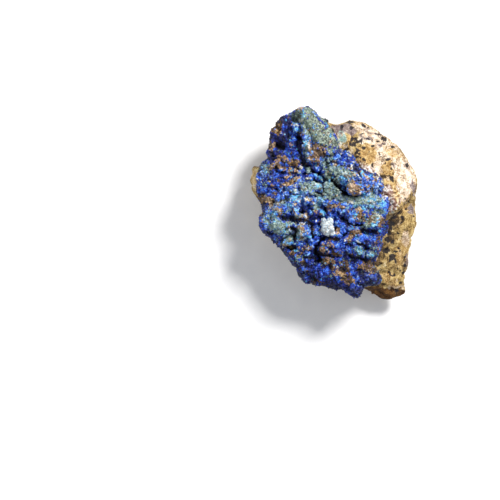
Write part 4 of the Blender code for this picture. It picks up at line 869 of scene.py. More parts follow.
def fine_copy(node):
    """A finely remeshed copy of a CAD node's shape, and its evened out places."""
    voxel, times = COPIES[node]
    bm = bmesh.new()
    bm.from_mesh(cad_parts[node].data)
    bmesh.ops.remove_doubles(bm, verts=bm.verts, dist=1e-7)
    coarse = bpy.data.meshes.new(node + "_coarse")
    bm.to_mesh(coarse)
    bm.free()
    obj = link(bpy.data.objects.new(node + "_coarse", coarse))
    modifier = obj.modifiers.new("voxels", "REMESH")
    modifier.mode = "VOXEL"
    modifier.voxel_size = voxel * MM
    bpy.context.view_layer.update()
    depsgraph = bpy.context.evaluated_depsgraph_get()
    mesh = bpy.data.meshes.new_from_object(obj.evaluated_get(depsgraph))
    bpy.data.objects.remove(obj)
    bpy.data.meshes.remove(coarse)
    return mesh, relaxed(mesh, places_of(mesh), times)


def relaxed(mesh, places, times):
    """The places evened out along the mesh's edges, which rounds the CAD facets."""
    edges = read(mesh.edges, "vertices", 2, int).T
    for _ in range(times):
        near = np.stack([near_mean(edges, places[:, axis]) for axis in range(3)], 1)
        places = 0.5 * (places + near)
    return places


def near_mean(edges, values):
    """The mean of each vertex's neighbours, for one number a vertex."""
    a, b = edges
    total = np.bincount(a, values[b], len(values)) + np.bincount(b, values[a], len(values))
    return total / (np.bincount(a, minlength=len(values)) + np.bincount(b, minlength=len(values)))


def standing_out(places):
    """How far each place stands above the upper surface round it."""
    low = places.min(0)[:2] - LEVEL_REACH
    spot = ((places[:, :2] - low) / LEVEL_CELL).astype(int)
    cells = LEVEL_REACH / LEVEL_CELL
    top = np.full(spot.max(0) + int(cells) + 2, -1.0)
    np.maximum.at(top, (spot[:, 0], spot[:, 1]), places[:, 2])
    known = (top > 0).astype(float)
    total = top * known
    for _ in range(int(cells ** 2)):
        total, known = (blurred(grid) for grid in (total, known))
    level = total / np.maximum(known, 1e-6)
    return places[:, 2] - level[spot[:, 0], spot[:, 1]]


def blurred(grid):
    """Each cell's mean with its four neighbours."""
    shifted = [np.roll(grid, way, axis) for way in (-1, 1) for axis in (0, 1)]
    return (grid + sum(shifted)) / 5


def scattered(mesh, count, rng, weight, fields):
    """Random places spread by area times the vertices' weight, with normals and fields there."""
    mesh.calc_loop_triangles()
    corners = read(mesh.loop_triangles, "vertices", 3, int)
    at = places_of(mesh)[corners]
    across = np.cross(at[:, 1] - at[:, 0], at[:, 2] - at[:, 0])
    size = np.linalg.norm(across, axis=1)
    share = np.cumsum(size * weight[corners].mean(1))
    drawn = (np.arange(count) + rng.random(count)) / count * share[-1]
    index = np.minimum(np.searchsorted(share, drawn), len(size) - 1)
    a, b = np.sqrt(rng.random(count)), rng.random(count)
    part = np.stack([1 - a, a * (1 - b), a * b], 1)
    places = (at[index] * part[:, :, None]).sum(1)
    normals = across[index] / np.maximum(size[index], 1e-12)[:, None]
    found = {name: (values[corners[index]] * part).sum(1) for name, values in fields.items()}
    return places, normals, found


def thinned(pool, keep, count, rng):
    """At most count of the pool's places, picked at random from those to keep."""
    places, normals, found = pool
    picked = np.flatnonzero(keep)
    picked = np.sort(rng.permutation(picked)[:count])
    return places[picked], normals[picked], {name: found[name][picked] for name in found}


# Each group's corner and size on a surface's map: the four sides, the underside and the top.
MAP_BOXES = np.array([
    (0.00, 0.00, 0.24, 0.14), (0.25, 0.00, 0.24, 0.14), (0.50, 0.00, 0.24, 0.14),
    (0.75, 0.00, 0.24, 0.14), (0.00, 0.15, 0.30, 0.40), (0.31, 0.15, 0.68, 0.84),
])


def surface_map(mesh):
    """The faces laid flat in six groups, by the way they look."""
    at = places_of(mesh)
    normal = read(mesh.polygons, "normal", 3)
    total = read(mesh.polygons, "loop_total", 1, int)[:, 0]
    face = np.repeat(np.arange(len(total)), total)
    vertex = read(mesh.loops, "vertex_index", 1, int)[:, 0]
    axis = np.abs(normal).argmax(1)
    group = axis * 2 + (normal[np.arange(len(axis)), axis] > 0)
    flat_axes = np.array([(1, 2), (0, 2), (0, 1)])[axis][face]
    unit = (at - at.min(0)) / (at.max(0) - at.min(0))
    flat = np.stack([unit[vertex, flat_axes[:, 0]], unit[vertex, flat_axes[:, 1]]], 1)
    boxes = MAP_BOXES[group][face]
    put_map(mesh, boxes[:, :2] + MAP_MARGIN + flat * (boxes[:, 2:] - 2.0 * MAP_MARGIN))


def put_map(mesh, places):
    """Gives the mesh a texture map named OFBake."""
    layer = mesh.uv_layers.new(name="OFBake")
    layer.uv.foreach_set("vector", places.astype(np.float32).ravel())


# Crystal forms, about 1 across and standing along +Z from their middle.

def blade_form():
    """A flattened rhombic prism with a wedge on top, as azurite grows."""
    rim = [(0.5, 0.0), (0.0, 0.28), (-0.5, 0.0), (0.0, -0.28)]
    points = [(x * 0.8, y * 0.8, -0.5) for x, y in rim] + [(x, y, 0.22) for x, y in rim]
    points += [(0.22, 0.0, 0.5), (-0.22, 0.0, 0.5)]
    faces = [(3, 2, 1, 0)]
    faces += [(i, (i + 1) % 4, 4 + (i + 1) % 4, 4 + i) for i in range(4)]
    faces += [(4, 5, 8), (5, 6, 9, 8), (6, 7, 9), (7, 4, 8, 9)]
    return points, faces


def grain_form():
    """A squat double pyramid with uneven corners."""
    points = [
        (0.50, 0.06, 0.04), (-0.08, 0.50, -0.06), (-0.48, -0.08, 0.05), (0.06, -0.50, -0.03),
        (0.07, 0.05, 0.46), (-0.05, -0.04, -0.48),
    ]
    return points, [(i, (i + 1) % 4, 4) for i in range(4)] + [((i + 1) % 4, i, 5) for i in range(4)]


def tuft_form():
    """A three-sided needle, thick at its foot."""
    points = [(0.5, 0.0, -0.5), (-0.25, 0.43, -0.5), (-0.25, -0.43, -0.5), (0.0, 0.0, 0.5)]
    return points, [(0, 2, 1), (0, 1, 3), (1, 2, 3), (2, 0, 3)]


def rhomb_form():
    """A slightly sheared cube."""
    corners = [(x, y, z) for z in (-0.5, 0.5) for y in (-0.5, 0.5) for x in (-0.5, 0.5)]
    points = [(x + 0.18 * y, y, z + 0.15 * x) for x, y, z in corners]
    return points, [(0, 2, 3, 1), (4, 5, 7, 6), (0, 1, 5, 4), (2, 6, 7, 3), (0, 4, 6, 2), (1, 3, 7, 5)]


# A kind of crystal: how many at most, the form, the least and greatest size, the stretch along its three
# axes, how far it leans, the share of it that is sunk, its usual and its second tones, and its surface.
Kind = namedtuple("Kind", "count form sizes stretch lean sink tones second roughness specular")
EVEN = (1.0, 1.0, 1.0)
FLATTENED = (1.0, 0.8, 0.9)
KINDS = {
    "azurite_blades": Kind(
        10000, blade_form(), (0.30, 0.60), (0.70, 0.70, 1.0), 0.5, 0.62, "azurite", "dusty_and_painted_sheen", 0.34, 0.5),
    "azurite_grains": Kind(
        21000, grain_form(), (0.18, 0.36), (1.0, 0.9, 0.9), 0.8, 0.50, "azurite", "dusty_and_painted_sheen", 0.34, 0.5),
    "malachite_grains": Kind(
        34000, tuft_form(), (0.16, 0.30), (0.65, 0.65, 1.0), 0.7, 0.5, "malachite", "cool", 0.75, 0.4),
    "limonite_grains": Kind(
        8000, grain_form(), (0.24, 0.48), (1.0, 0.8, 0.8), 0.8, 0.5, "limonite", "yellow", 0.60, 0.4),
    "turquoise_grains": Kind(
        3500, grain_form(), (0.20, 0.38), FLATTENED, 0.8, 0.5, "turquoise", "ice", 0.45, 0.4),
    "pale_grains": Kind(
        1600, grain_form(), (0.20, 0.38), FLATTENED, 0.8, 0.5, "pale", "limonite", 0.45, 0.4),
    "rock_druse": Kind(
        2200, grain_form(), (0.18, 0.42), EVEN, 0.7, 0.55, "druse", "yellow", 0.5, 0.4),
    "white_cluster": Kind(
        900, rhomb_form(), (0.15, 0.36), EVEN, 0.6, 0.6, "white", "limonite", 0.35, 0.5),
}


def random_sizes(kind, count, rng):
    """Each crystal's size along its three axes."""
    low, high = kind.sizes
    size = low + (high - low) * rng.random(count) ** 1.4
    return size[:, None] * np.array(kind.stretch) * (0.8 + 0.4 * rng.random((count, 3)))


def crystals(name, kind, places, normals, sizes, rng):
    """One mesh of many crystals, each turned and leaning at random on its surface."""
    points, faces = np.array(kind.form[0]), kind.form[1]
    count, corners = len(places), len(points)
    up = normals + kind.lean * rng.normal(size=(count, 3))
    up /= np.linalg.norm(up, axis=1)[:, None]
    side = np.cross(up, rng.normal(size=(count, 3)))
    side /= np.linalg.norm(side, axis=1)[:, None]
    turned = np.stack([side, np.cross(up, side), up], 1)
    foot = places + up * (sizes[:, 2:] * (0.5 - kind.sink))
    at = foot[:, None] + np.einsum("nki,nij->nkj", points[None] * sizes[:, None], turned)
    offsets = np.arange(count)[:, None] * corners
    loops = np.concatenate([(np.array(face)[None] + offsets) for face in faces], 1)
    lengths = np.tile([len(face) for face in faces], count)
    mesh = bpy.data.meshes.new(name)
    mesh.vertices.add(count * corners)
    mesh.loops.add(loops.size)
    mesh.polygons.add(len(lengths))
    mesh.vertices.foreach_set("co", (at * MM).astype(np.float32).ravel())
    mesh.loops.foreach_set("vertex_index", loops.astype(np.int32).ravel())
    starts = np.concatenate([[0], np.cumsum(lengths)[:-1]])
    mesh.polygons.foreach_set("loop_start", starts.astype(np.int32))
    mesh.update(calc_edges=True)
    crystal_map(mesh, points, loops, count)
    return mesh


def crystal_map(mesh, points, loops, count):
    """A square of its own on the texture map for each crystal."""
    across = math.ceil(math.sqrt(count))
    flat = points[:, :2] * (1.0, 0.45) + points[:, 2:] * (0.25, 0.9)
    flat = 0.5 + 0.40 * flat / np.abs(flat).max()
    cell = np.stack([np.arange(count) % across, np.arange(count) // across], 1)
    put_map(mesh, (cell[:, None] + flat[loops % len(points)]) / across)


# Materials.

class Nodes:
    """Short names for the shader nodes that the materials use."""

    def __init__(self, name, specular=0.5):
        self.material = bpy.data.materials.new(name)
        self.material.use_nodes = True
        self.tree = self.material.node_tree
        self.shader = self.tree.nodes["Principled BSDF"]
        self.shader.inputs["Specular IOR Level"].default_value = specular
        self.places = self.new("ShaderNodeTexCoord", {}).outputs["Object"]

    def new(self, kind, inputs, **settings):
        """Adds a node with its settings, and with a value or a link for each of the inputs."""
        node = self.tree.nodes.new(kind)
        for name, value in settings.items():
            setattr(node, name, value)
        for name, value in inputs.items():
            self.put(node.inputs[name], value)
        return node

    def put(self, socket, value):
        """Links the value to the socket, or sets it there when it is a plain one."""
        if isinstance(value, bpy.types.NodeSocket):
            self.tree.links.new(value, socket)
        else:
            socket.default_value = value

    def attribute(self, name):
        """The number noted on the vertices under the name."""
        return self.new("ShaderNodeAttribute", {}, attribute_name=name).outputs["Fac"]

    def at_places(self, size, shift):
        """The inputs of a texture whose features have the given size."""
        return {"Vector": self.places, "W": shift, "Scale": 1.0 / (size * MM)}

    def noise(self, size, detail, shift=0.0):
        """Noise from 0 to 1."""
        inputs = {**self.at_places(size, shift), "Detail": detail}
        return self.new("ShaderNodeTexNoise", inputs, noise_dimensions="4D").outputs["Fac"]

    def cells(self, size, shift):
        """The distance from the nearest cell's centre, and a number for that cell."""
        node = self.new("ShaderNodeTexVoronoi", self.at_places(size, shift), voronoi_dimensions="4D")
        parts = self.new("ShaderNodeSeparateColor", {"Color": node.outputs["Color"]})
        return node.outputs["Distance"], parts.outputs["Red"]

    def add(self, *values):
        """The sum of the values."""
        total = values[0]
        for value in values[1:]:
            total = self.new("ShaderNodeMath", {0: total, 1: value}, operation="ADD").outputs[0]
        return total

    def scaled(self, value, factor, offset=0.0):
        """The value times the factor, plus the offset."""
        inputs = {0: value, 1: factor, 2: offset}
        return self.new("ShaderNodeMath", inputs, operation="MULTIPLY_ADD").outputs[0]

    def step(self, value, low, high):
        """0 at low, 1 at high, and smooth between."""
        inputs = {"Value": value, "From Min": low, "From Max": high}
        return self.new("ShaderNodeMapRange", inputs, interpolation_type="SMOOTHSTEP").outputs["Result"]

    def ramp(self, factor, tones):
        """The tones' shade at the factor."""
        node = self.new("ShaderNodeValToRGB", {"Fac": factor})
        elements = node.color_ramp.elements
        while len(elements) < len(tones):
            elements.new(0.5)
        for element, (position, shade) in zip(elements, tones.items()):
            element.position = position
            element.color = colour(*shade)
        return node.outputs["Color"]

    def mix(self, factor, a, b):
        """Shade a where the factor is 0, and shade b where it is 1."""
        node = self.new("ShaderNodeMix", {"Factor": factor}, data_type="RGBA")
        colours = [socket for socket in node.inputs if socket.type == "RGBA"]
        self.put(colours[0], a)
        self.put(colours[1], b)
        return next(socket for socket in node.outputs if socket.type == "RGBA")

    def bump(self, height, strength, distance):
        """Gives the surface a grain that is too fine for the mesh."""
        inputs = {"Strength": strength, "Distance": distance * MM, "Height": height}
        self.put(self.shader.inputs["Normal"], self.new("ShaderNodeBump", inputs).outputs["Normal"])

    def paint(self, shade, roughness):
        """Finishes the material and returns it."""
        self.put(self.shader.inputs["Base Color"], shade)
        self.put(self.shader.inputs["Roughness"], roughness)
        return self.material


def crystal_material(name, tones, second, roughness, specular):
    """Crystals that take their shade from their own tone and their second tone, with a little variation
    inside.
    """
    nodes = Nodes(name, specular)
    tone = nodes.add(nodes.attribute("tone"), nodes.scaled(nodes.noise(0.18, 2.0), 0.40, -0.20))
    shades = [nodes.ramp(tone, TONES[tones]), nodes.ramp(tone, TONES[second])]
    shade = nodes.mix(nodes.attribute("second_tone"), *shades)
    nodes.bump(nodes.noise(0.09, 2.0, 5.0), 0.25, 0.03)
    return nodes.paint(shade, nodes.scaled(nodes.noise(0.6, 1.0, 3.0), 0.3, roughness - 0.15))


def crust_material():
    """Azurite with the other minerals over it, where the vertices say so, and painted shade in its
    deepest hollows.
    """
    nodes = Nodes("crust")
    fine = nodes.noise(0.24, 3.0, 2.0)
    grain = nodes.cells(0.26, 1.0)[1]
    variation = nodes.add(nodes.scaled(grain, 0.5, -0.25), nodes.scaled(fine, 0.7, -0.35))
    tone = nodes.add(nodes.attribute("tone"), variation)
    # The azurite's grey-blue second tone is partly a dusting and partly a painted sheen.
    azurite = [nodes.ramp(tone, TONES[name]) for name in ("azurite", "dusty_and_painted_sheen")]
    shade = nodes.mix(nodes.attribute("dusty_and_painted_sheen"), *azurite)
    for number, name in enumerate(("malachite", "turquoise", "limonite", "pale")):
        edge = nodes.scaled(nodes.noise(0.22, 3.0, 11.0 + number), 0.8, -0.4)
        share = nodes.step(nodes.add(nodes.attribute(name), edge), 0.42, 0.58)
        level = nodes.scaled(variation, 1.2, 0.48)
        if name == "limonite":
            level = nodes.add(level, nodes.scaled(nodes.attribute("shade"), 0.20))
        shade = nodes.mix(share, shade, nodes.ramp(level, TONES[name]))
    # Painted shade: where the crust lies deep below its surroundings it is laid over with near-black
    # blue.
    hollow = nodes.step(nodes.attribute("relief"), -1.0, 0.0)
    shade = nodes.mix(nodes.scaled(hollow, -0.8, 0.8), shade, colour(*PAINTED_HOLLOW_SHADE))
    nodes.bump(nodes.add(fine, nodes.scaled(grain, 0.5)), 0.5, 0.10)
    return nodes.paint(shade, nodes.scaled(fine, 0.35, 0.40))


def rock_material():
    """Ochre stone with its other tones laid over it, and black spots."""
    nodes = Nodes("rock", 0.3)
    coarse = nodes.noise(0.8, 5.0, 2.0)
    fine = nodes.noise(0.20, 4.0, 3.0)
    grain = nodes.noise(0.11, 2.0, 13.0)
    # The whiter patches lift the stone's tone: partly its own colour, partly painted light on a lit edge
    # and a dim side.
    mixed = nodes.add(
        nodes.scaled(coarse, 1.3, -0.45), nodes.scaled(fine, 1.4, -0.70),
        nodes.scaled(grain, 0.9, -0.18), nodes.scaled(nodes.attribute("whiter_and_painted_light"), 0.24),
    )
    side = nodes.attribute("side")
    mottles = nodes.noise(1.5, 4.0, 31.0)
    bands = nodes.add(nodes.noise(3.4, 3.0, 32.0), nodes.scaled(side, 0.12))
    crowding = nodes.scaled(nodes.noise(1.8, 2.0, 28.0), 0.7, -0.35)
    specks = nodes.add(nodes.noise(0.26, 2.0, 27.0), crowding)
    rims = nodes.scaled(nodes.noise(0.26, 3.0, 29.0), 2.2, -1.15)
    spots = nodes.add(nodes.attribute("spots"), rims)
    distance, number = nodes.cells(1.7, 5.0)
    side_spots = nodes.add(
        nodes.scaled(number, 0.42, -0.24), nodes.scaled(distance, -1.0), nodes.scaled(side, 1.0, -0.93),
    )

    def patches(name, raggedness, shift=24.0, extra=0.0):
        """The patches noted on the vertices under the name, with ragged edges."""
        edge = nodes.scaled(nodes.noise(0.45, 5.0, shift), raggedness, -raggedness / 2)
        return nodes.add(nodes.attribute(name), extra, edge)

    # Each layer's tone, the value that says where it lies, from which value to which it sets in, and how
    # much of it there is.
    layers = [
        ("rust", mottles, 0.55, 0.68, 0.75),
        ("cream", mottles, 0.42, 0.30, 0.60),
        ("brown", bands, 0.60, 0.70, 0.70),
        ("cream", patches("cream", 0.6, 25.0), 0.20, 0.80, 1.0),
        ("warm", mottles, 0.58, 0.70, 0.35),
        ("warm", patches("warm", 0.9), 0.20, 0.80, 1.0),
        # The grey layer is partly painted shade.
        ("grey", patches("grey", 0.6), 0.20, 0.80, 1.0),
        ("rust", patches("rust", 1.3, extra=nodes.scaled(fine, 1.6, -0.85)), 0.30, 0.70, 1.0),
        # The brown end is partly painted shade.
        ("brown", patches("brown", 0.3, 25.0), 0.38, 0.62, 1.0),
        ("aqua", patches("aqua", 1.4), 0.25, 0.75, 1.0),
        ("rust", specks, 0.61, 0.67, 0.80),
        ("black", spots, -0.04, 0.06, 0.96),
        ("black", side_spots, 0.0, 0.06, 0.85),
    ]
    shades = {name: nodes.ramp(mixed, tones) for name, tones in ROCK_TONES.items()}
    shade = shades["ochre"]
    for name, value, low, high, amount in layers:
        shade = nodes.mix(nodes.scaled(nodes.step(value, low, high), amount), shade, shades[name])
    nodes.bump(nodes.add(fine, nodes.scaled(coarse, 0.5)), 0.5, 0.12)
    return nodes.paint(shade, nodes.scaled(fine, 0.2, 0.72))


def floor_material():
    """A plain pale floor."""
    nodes = Nodes("floor", 0.2)
    return nodes.paint(nodes.ramp(nodes.noise(4.0, 3.0), FLOOR_TONES), 0.9)


# The pieces.

def piece(name, mesh, material, node=None):
    """Puts a piece in the scene. Where a CAD node is named, the piece stands for it."""
    mesh.materials.clear()
    mesh.materials.append(material)
    obj = link(bpy.data.objects.new(name, mesh))
    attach(obj, "root")
    if node:
        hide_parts(node)


def crust_relief(places, fields):
    """How far to move each place along its normal, and how far it is from a gap between knobs, 0 to 1."""
    seen = as_seen(places)
    rough = 1.0 - 0.9 * fields["slab"]
    winding = patch_field(seen, WINDING, 0.6)
    knobbly = np.maximum(patch_field(seen, KNOBBLY), 0.5 * step(-0.1, 0.4, noise_at(places, 3.0, 64.0)))
    pushes = np.stack([noise_at(places, 1.1, shift) for shift in (61.0, 62.0, 63.0)], 1)
    near, border = cells_at(places + 0.5 * pushes, LUMP, 3.0)
    small_near, small_border = cells_at(places + 0.3 * pushes, LUMPLET, 8.0)
    knobs = (0.10 + 0.45 * knobbly) * (0.50 - near) - 0.30 * knobbly * (1.0 - step(0.0, 0.20, border))
    knobs += 0.20 * (0.50 - small_near) - 0.12 * (1.0 - step(0.0, 0.20, small_border))
    chips = 0.34 * facets_at(places, 1.5, 6.0) * (1.0 - 0.7 * knobbly)
    pits = -0.55 * step(0.28, 0.55, noise_at(places, 1.4, 15.0)) * (1.0 - 0.8 * fields["malachite"])
    ridges = 0.55 * (0.30 - 2.2 * np.abs(noise_at(places, 1.1, 25.0)))
    fine = 0.14 * noise_at(places, 0.30, 35.0) + 0.16 * noise_at(places, 0.8, 36.0)
    form = (1.0 - 0.6 * winding) * (knobs + chips + pits) + winding * ridges + fine
    gap = knobbly * (1.0 - step(0.02, 0.18, border)) * rough
    return rough * form + 0.3 * fine, 1.0 - gap


def crust_surface():
    """The crust itself, grown a little underneath to meet the rock, and its fields."""
    mesh, places = fine_copy("azurite_crust")
    normals = move_to(mesh, places)
    sides = 1.0 - step(0.5, 0.9, np.abs(normals[:, 2]))
    places = places + normals * (edge_shift(as_seen(places), CRUST_EDGES, 0.0) * sides)[:, None]
    upper = step(-0.3, 0.1, normals[:, 2])
    places[:, 2] += upper * np.maximum(mound_height(places) - places[:, 2], 0.0)
    normals = move_to(mesh, places)
    fields = mineral_fields(places)
    lift, fields["open"] = crust_relief(places, fields)
    cleft = cleft_depth(places) * step(-0.1, 0.3, normals[:, 2])
    under = step(-0.1, 0.5, -normals[:, 2])
    lift = lift * (1.0 - 0.7 * under) + CONTACT_FILL * under
    places = places + normals * lift[:, None]
    places[:, 2] = np.minimum(places[:, 2], CAD_BOX[1][2] / MM) - cleft
    move_to(mesh, places)
    # The relief and the clefts also carry painted shade into the crust's colours.
    fields["relief"] = standing_out(places) + np.minimum(lift, 0.0) - 0.5 * cleft
    fields["cleft"] = step(0.05, 0.45, cleft)
    fields["open"] = np.minimum(fields["open"], 1.0 - fields["cleft"])
    fields["up"] = step(-0.45, -0.15, normals[:, 2])
    for name in (*MINERALS, "relief", "shade"):
        note(mesh, name, fields[name])
    note(mesh, "dusty_and_painted_sheen", 0.7 * fields["dusty_and_painted_sheen"])
    note(mesh, "tone", azurite_tone(fields) - 0.08)
    surface_map(mesh)
    mesh.shade_smooth()
    piece("azurite_crust_surface", mesh, crust_material(), "azurite_crust")
    return mesh, fields


def azurite_tone(fields):
    """The azurite's place on its ramp."""
    # Part of this tone is painted: shade in clefts, hollows and the deep patches, light on raised places
    # and the lighter patches.
    tone = 0.48 + 0.40 * (fields["clump"] - 0.5) + 0.25 * fields["wide"]
    tone += 0.20 * fields["bright"] - 0.32 * fields["navy"] + 0.10 * fields["dusty_and_painted_sheen"]
    return tone - 0.40 * fields["cleft"] + 0.14 * np.clip(fields["relief"], -1.2, 0.8)


def grow(name, chosen, sizes, tone, second_tone, rng):
    """Adds one piece of crystals standing at the chosen places."""
    places, normals, _ = chosen
    kind = KINDS[name]
    mesh = crystals(name, kind, places, normals, sizes, rng)
    corners = len(kind.form[0])
    note(mesh, "tone", np.repeat(np.clip(tone, 0.0, 1.0), corners))
    note(mesh, "second_tone", np.repeat(np.clip(second_tone, 0.0, 1.0), corners))
    material = crystal_material(name, kind.tones, kind.second, kind.roughness, kind.specular)
    piece(name, mesh, material)


def azurite_crystals(pool, rng):
    """Blades and small grains of azurite wherever the other minerals leave room."""
    found = pool[2]
    others = np.max([found[name] for name in MINERALS], axis=0)
    free = (others < 0.5) | (rng.random(len(others)) < 0.05)
    free &= rng.random(len(others)) < 0.08 + 0.92 * found["open"]
    for name in ("azurite_blades", "azurite_grains"):
        chosen = thinned(pool, free, KINDS[name].count, rng)
        here = chosen[2]
        count = len(here["clump"])
        tone = azurite_tone(here) - 0.04 + (0.46 - 0.16 * here["navy"]) * (rng.random(count) - 0.5)
        # Painted highlights: a share of the grains is made paler, standing in for glints.
        painted_highlight_share = 0.05 + 0.07 * here["bright"] + 0.07 * here["dusty_and_painted_sheen"]
        tone += 0.24 * (rng.random(count) < painted_highlight_share * (1.0 - here["navy"]))
        # Grains that take the second tone, a grey-blue that is partly a dusting and partly a painted
        # sheen.
        sheen_and_dust_share = (0.14 + 0.50 * here["dusty_and_painted_sheen"]) * (1.0 - 0.7 * here["navy"])
        second_tone = (rng.random(count) < sheen_and_dust_share) * (0.5 + 0.5 * rng.random(count))
        grow(name, chosen, random_sizes(KINDS[name], count, rng), tone, second_tone, rng)


def other_crystals(pool, rng):
    """Grains of the other minerals of the crust, where their clumps are."""
    middles = {"malachite": 0.50, "limonite": 0.50, "turquoise": 0.52, "pale": 0.76}
    for mineral, middle in middles.items():
        name = mineral + "_grains"
        keep = (pool[2][mineral] > 0.5) & (rng.random(POOL) < 0.15 + 0.85 * pool[2]["open"])
        chosen = thinned(pool, keep, KINDS[name].count, rng)
        here = chosen[2]
        count = len(here["clump"])
        tone = middle + 0.45 * (rng.random(count) - 0.5) + 0.35 * (here["clump"] - 0.5)
        # Painted shade in hollows, clefts and the deep patches, and painted light on raised places and
        # the lighter patches.
        tone += 0.16 * np.clip(here["relief"], -1.2, 0.8) - 0.30 * here["navy"] - 0.40 * here["cleft"]
        if mineral == "malachite":
            tone += 0.30 * here["bright"] - 0.29 * here["olive"] - 0.03 * here["dusty_and_painted_sheen"]
            tone += 0.40 * here["olive"] * (rng.random(count) - 0.5)
        elif mineral == "limonite":
            tone += 0.24 * here["shade"] + 0.08 * here["bright"]
        elif mineral == "turquoise":
            tone += 0.10 * here["bright"]
        second_tone = other_second_tone(mineral, chosen, rng.random(count))
        grow(name, chosen, random_sizes(KINDS[name], count, rng), tone, second_tone, rng)


def other_second_tone(mineral, chosen, drawn):
    """How far each grain is from its mineral's usual colour towards its second one."""
    places, _, found = chosen
    some = 0.5 * (drawn > 0.7)
    if mineral == "malachite":
        return (1.0 - found["olive"]) * (0.35 + 0.65 * drawn) + 0.3 * found["olive"] * (drawn > 0.7)
    if mineral == "limonite":
        return np.maximum(patch_field(as_seen(places), YELLOW), some)
    return some


def rock_surface():
    """The host rock with its broken grain; the resting face stays flat."""
    mesh, places = fine_copy("host_rock")
    places[:, 2] = np.maximum(places[:, 2], 0.0)
    normals = move_to(mesh, places)
    seen = as_seen(places)
    druse = patch_field(seen, DRUSE)
    not_under = step(-0.7, -0.3, normals[:, 2])
    lift = edge_shift(seen, ROCK_EDGES, ROCK_SPREAD) * (1.0 - step(0.3, 0.7, normals[:, 2])) * not_under
    lift += 0.22 * facets_at(places, 2.6, 2.0) + 0.12 * facets_at(places, 1.1, 12.0)
    lift += 0.16 * noise_at(places, 1.2, 22.0) + 0.08 * noise_at(places, 0.45, 32.0)
    lift += 0.30 * druse * noise_at(places, 0.7, 42.0) - 0.06 * np.clip(spot_field(seen), 0.0, 1.0)
    lift *= step(0.0, 0.6, places[:, 2])
    places = places + normals * lift[:, None]
    places[:, 2] = np.maximum(places[:, 2], 0.0)
    move_to(mesh, places)
    seen = as_seen(places)
    # The whiter patches, partly painted light, also reach onto the dim side at the left.
    whiter_and_painted_light = patch_field(seen, WHITER_AND_PAINTED_LIGHT) * step(-0.3, 0.1, normals[:, 2])
    upper = np.maximum(step(0.10, 0.45, normals[:, 2]), whiter_and_painted_light)
    moved = ragged(seen, 0.6, 0.9, 14.0)
    for name, patches in ROCK_PATCHES.items():
        note(mesh, name, patch_field(moved, patches) * upper)
    note(mesh, "brown", patch_field(moved, BROWN_AND_PAINTED_SHADE_END) * not_under)
    note(mesh, "side", 1.0 - upper)
    note(mesh, "whiter_and_painted_light", whiter_and_painted_light)
    note(mesh, "spots", spot_field(ragged(seen, 0.18, 0.4, 6.0)) - 2.0 * (1.0 - upper))
    surface_map(mesh)
    mesh.shade_smooth()
    piece("host_rock_surface", mesh, rock_material(), "host_rock")
    return mesh, {"druse": druse * upper}


def rock_druse(mesh, fields, rng):
    """Small rusty and pale crystals on the rock beside the crust."""
    kind = KINDS["rock_druse"]
    pool = scattered(mesh, kind.count, rng, fields["druse"], fields)
    sizes = random_sizes(kind, kind.count, rng)
    tone = 0.5 + 0.5 * (rng.random(kind.count) - 0.5) + 0.9 * noise_at(pool[0], 0.5, 33.0)
    tone += 0.30 * patch_field(as_seen(pool[0]), CREAM)
    second_tone = patch_field(as_seen(pool[0]), OCHRE)
    grow("rock_druse", pool, sizes, tone, second_tone, rng)


def white_cluster(rng):
    """The patch of sugary white crystals and the body that they stand on."""
    mesh, places = fine_copy("white_crystals")
    middle = places[:, :2].mean(0)
    places[:, :2] = middle + WHITE_SHIFT + WHITE_SPREAD * (places[:, :2] - middle)
    left, low = places[:, :2].min(0)
    places[:, 0] = left + (places[:, 0] - left) * (1.0 - WHITE_TAPER * (places[:, 1] - low))
    lift = 0.12 * noise_at(places, 0.35, 5.0) + 0.20 * noise_at(places, 0.8, 9.0)
    places = places + move_to(mesh, places) * lift[:, None]
    normals = move_to(mesh, places)
    surface_map(mesh)
    note(mesh, "tone", 0.6 + 0.6 * noise_at(places, 0.3, 15.0))
    note(mesh, "second_tone", np.zeros(len(places)))
    material = crystal_material("white_body", "white", "white", 0.45, 0.4)
    piece("white_body", mesh, material, "white_crystals")
    kind = KINDS["white_cluster"]
    pool = scattered(mesh, kind.count, rng, step(-0.3, 0.1, normals[:, 2]), {})
    sizes = random_sizes(kind, kind.count, rng)
    tone = 0.58 + 0.50 * (rng.random(kind.count) - 0.5) + 0.3 * noise_at(pool[0], 0.4, 25.0)
    second_tone = 0.7 * (rng.random(kind.count) > 0.85)
    grow("white_cluster", pool, sizes, tone, second_tone, rng)


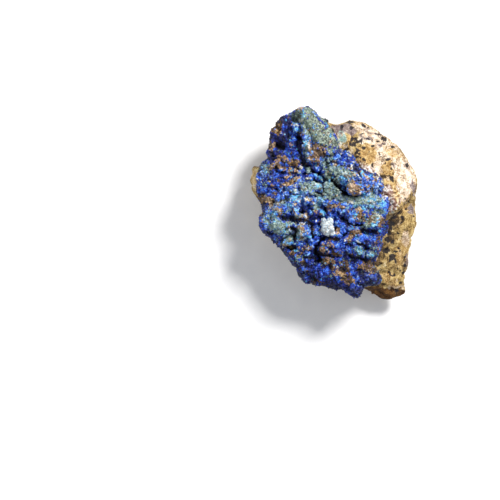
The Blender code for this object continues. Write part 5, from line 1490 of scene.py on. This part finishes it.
def floor():
    """The floor that the specimen rests on."""
    mesh = bpy.data.meshes.new("floor")
    corners = [(x * FLOOR_HALF, y * FLOOR_HALF, 0.0) for x, y in ((-1, -1), (1, -1), (1, 1), (-1, 1))]
    mesh.from_pydata(corners, [], [(0, 1, 2, 3)])
    mesh.materials.append(floor_material())
    link(bpy.data.objects.new("floor", mesh))


def lamp(name, way, distance, size, power, tint):
    """A square soft light that shines on the specimen from the given direction."""
    data = bpy.data.lights.new(name, "AREA")
    data.size = size * MM
    data.energy = power
    data.color = tint
    obj = link(bpy.data.objects.new(name, data))
    way = Vector(way).normalized()
    obj.location = (way * distance + Vector((0.0, 0.0, MIDDLE_HEIGHT))) * MM
    obj.rotation_euler = way.to_track_quat("Z", "Y").to_euler()


def lights():
    """A warm key light, a wide fill, and a pale studio round them."""
    lamp("key", (0.46, 0.56, 0.80), 420, 110, 2.7, (1.0, 0.98, 0.95))
    lamp("fill", (-0.6, -0.2, 0.9), 450, 400, 0.6, (0.95, 0.97, 1.0))
    world = bpy.data.worlds.new("studio")
    world.use_nodes = True
    background = world.node_tree.nodes["Background"]
    background.inputs["Color"].default_value = (0.95, 0.97, 1.0, 1.0)
    background.inputs["Strength"].default_value = 0.36
    bpy.context.scene.world = world
    bpy.context.scene.view_settings.view_transform = "Standard"


def camera():
    """The photograph's view, straight down."""
    data = bpy.data.cameras.new("camera")
    data.sensor_width = SENSOR
    data.lens = SENSOR * (CAMERA_HEIGHT - MIDDLE_HEIGHT) / (PIXELS / PIXELS_PER_MM)
    data.clip_start, data.clip_end = 0.01, 10.0
    obj = link(bpy.data.objects.new("camera", data))
    obj.location = (CAMERA_X * MM, CAMERA_Y * MM, CAMERA_HEIGHT * MM)
    bpy.context.scene.camera = obj


def main():
    """Builds the scene."""
    rng = np.random.default_rng(SEED)
    camera()
    lights()
    floor()
    mesh, fields = crust_surface()
    pool = scattered(mesh, POOL, rng, fields["up"], fields)
    azurite_crystals(pool, rng)
    other_crystals(pool, rng)
    rock_druse(*rock_surface(), rng)
    white_cluster(rng)


main()
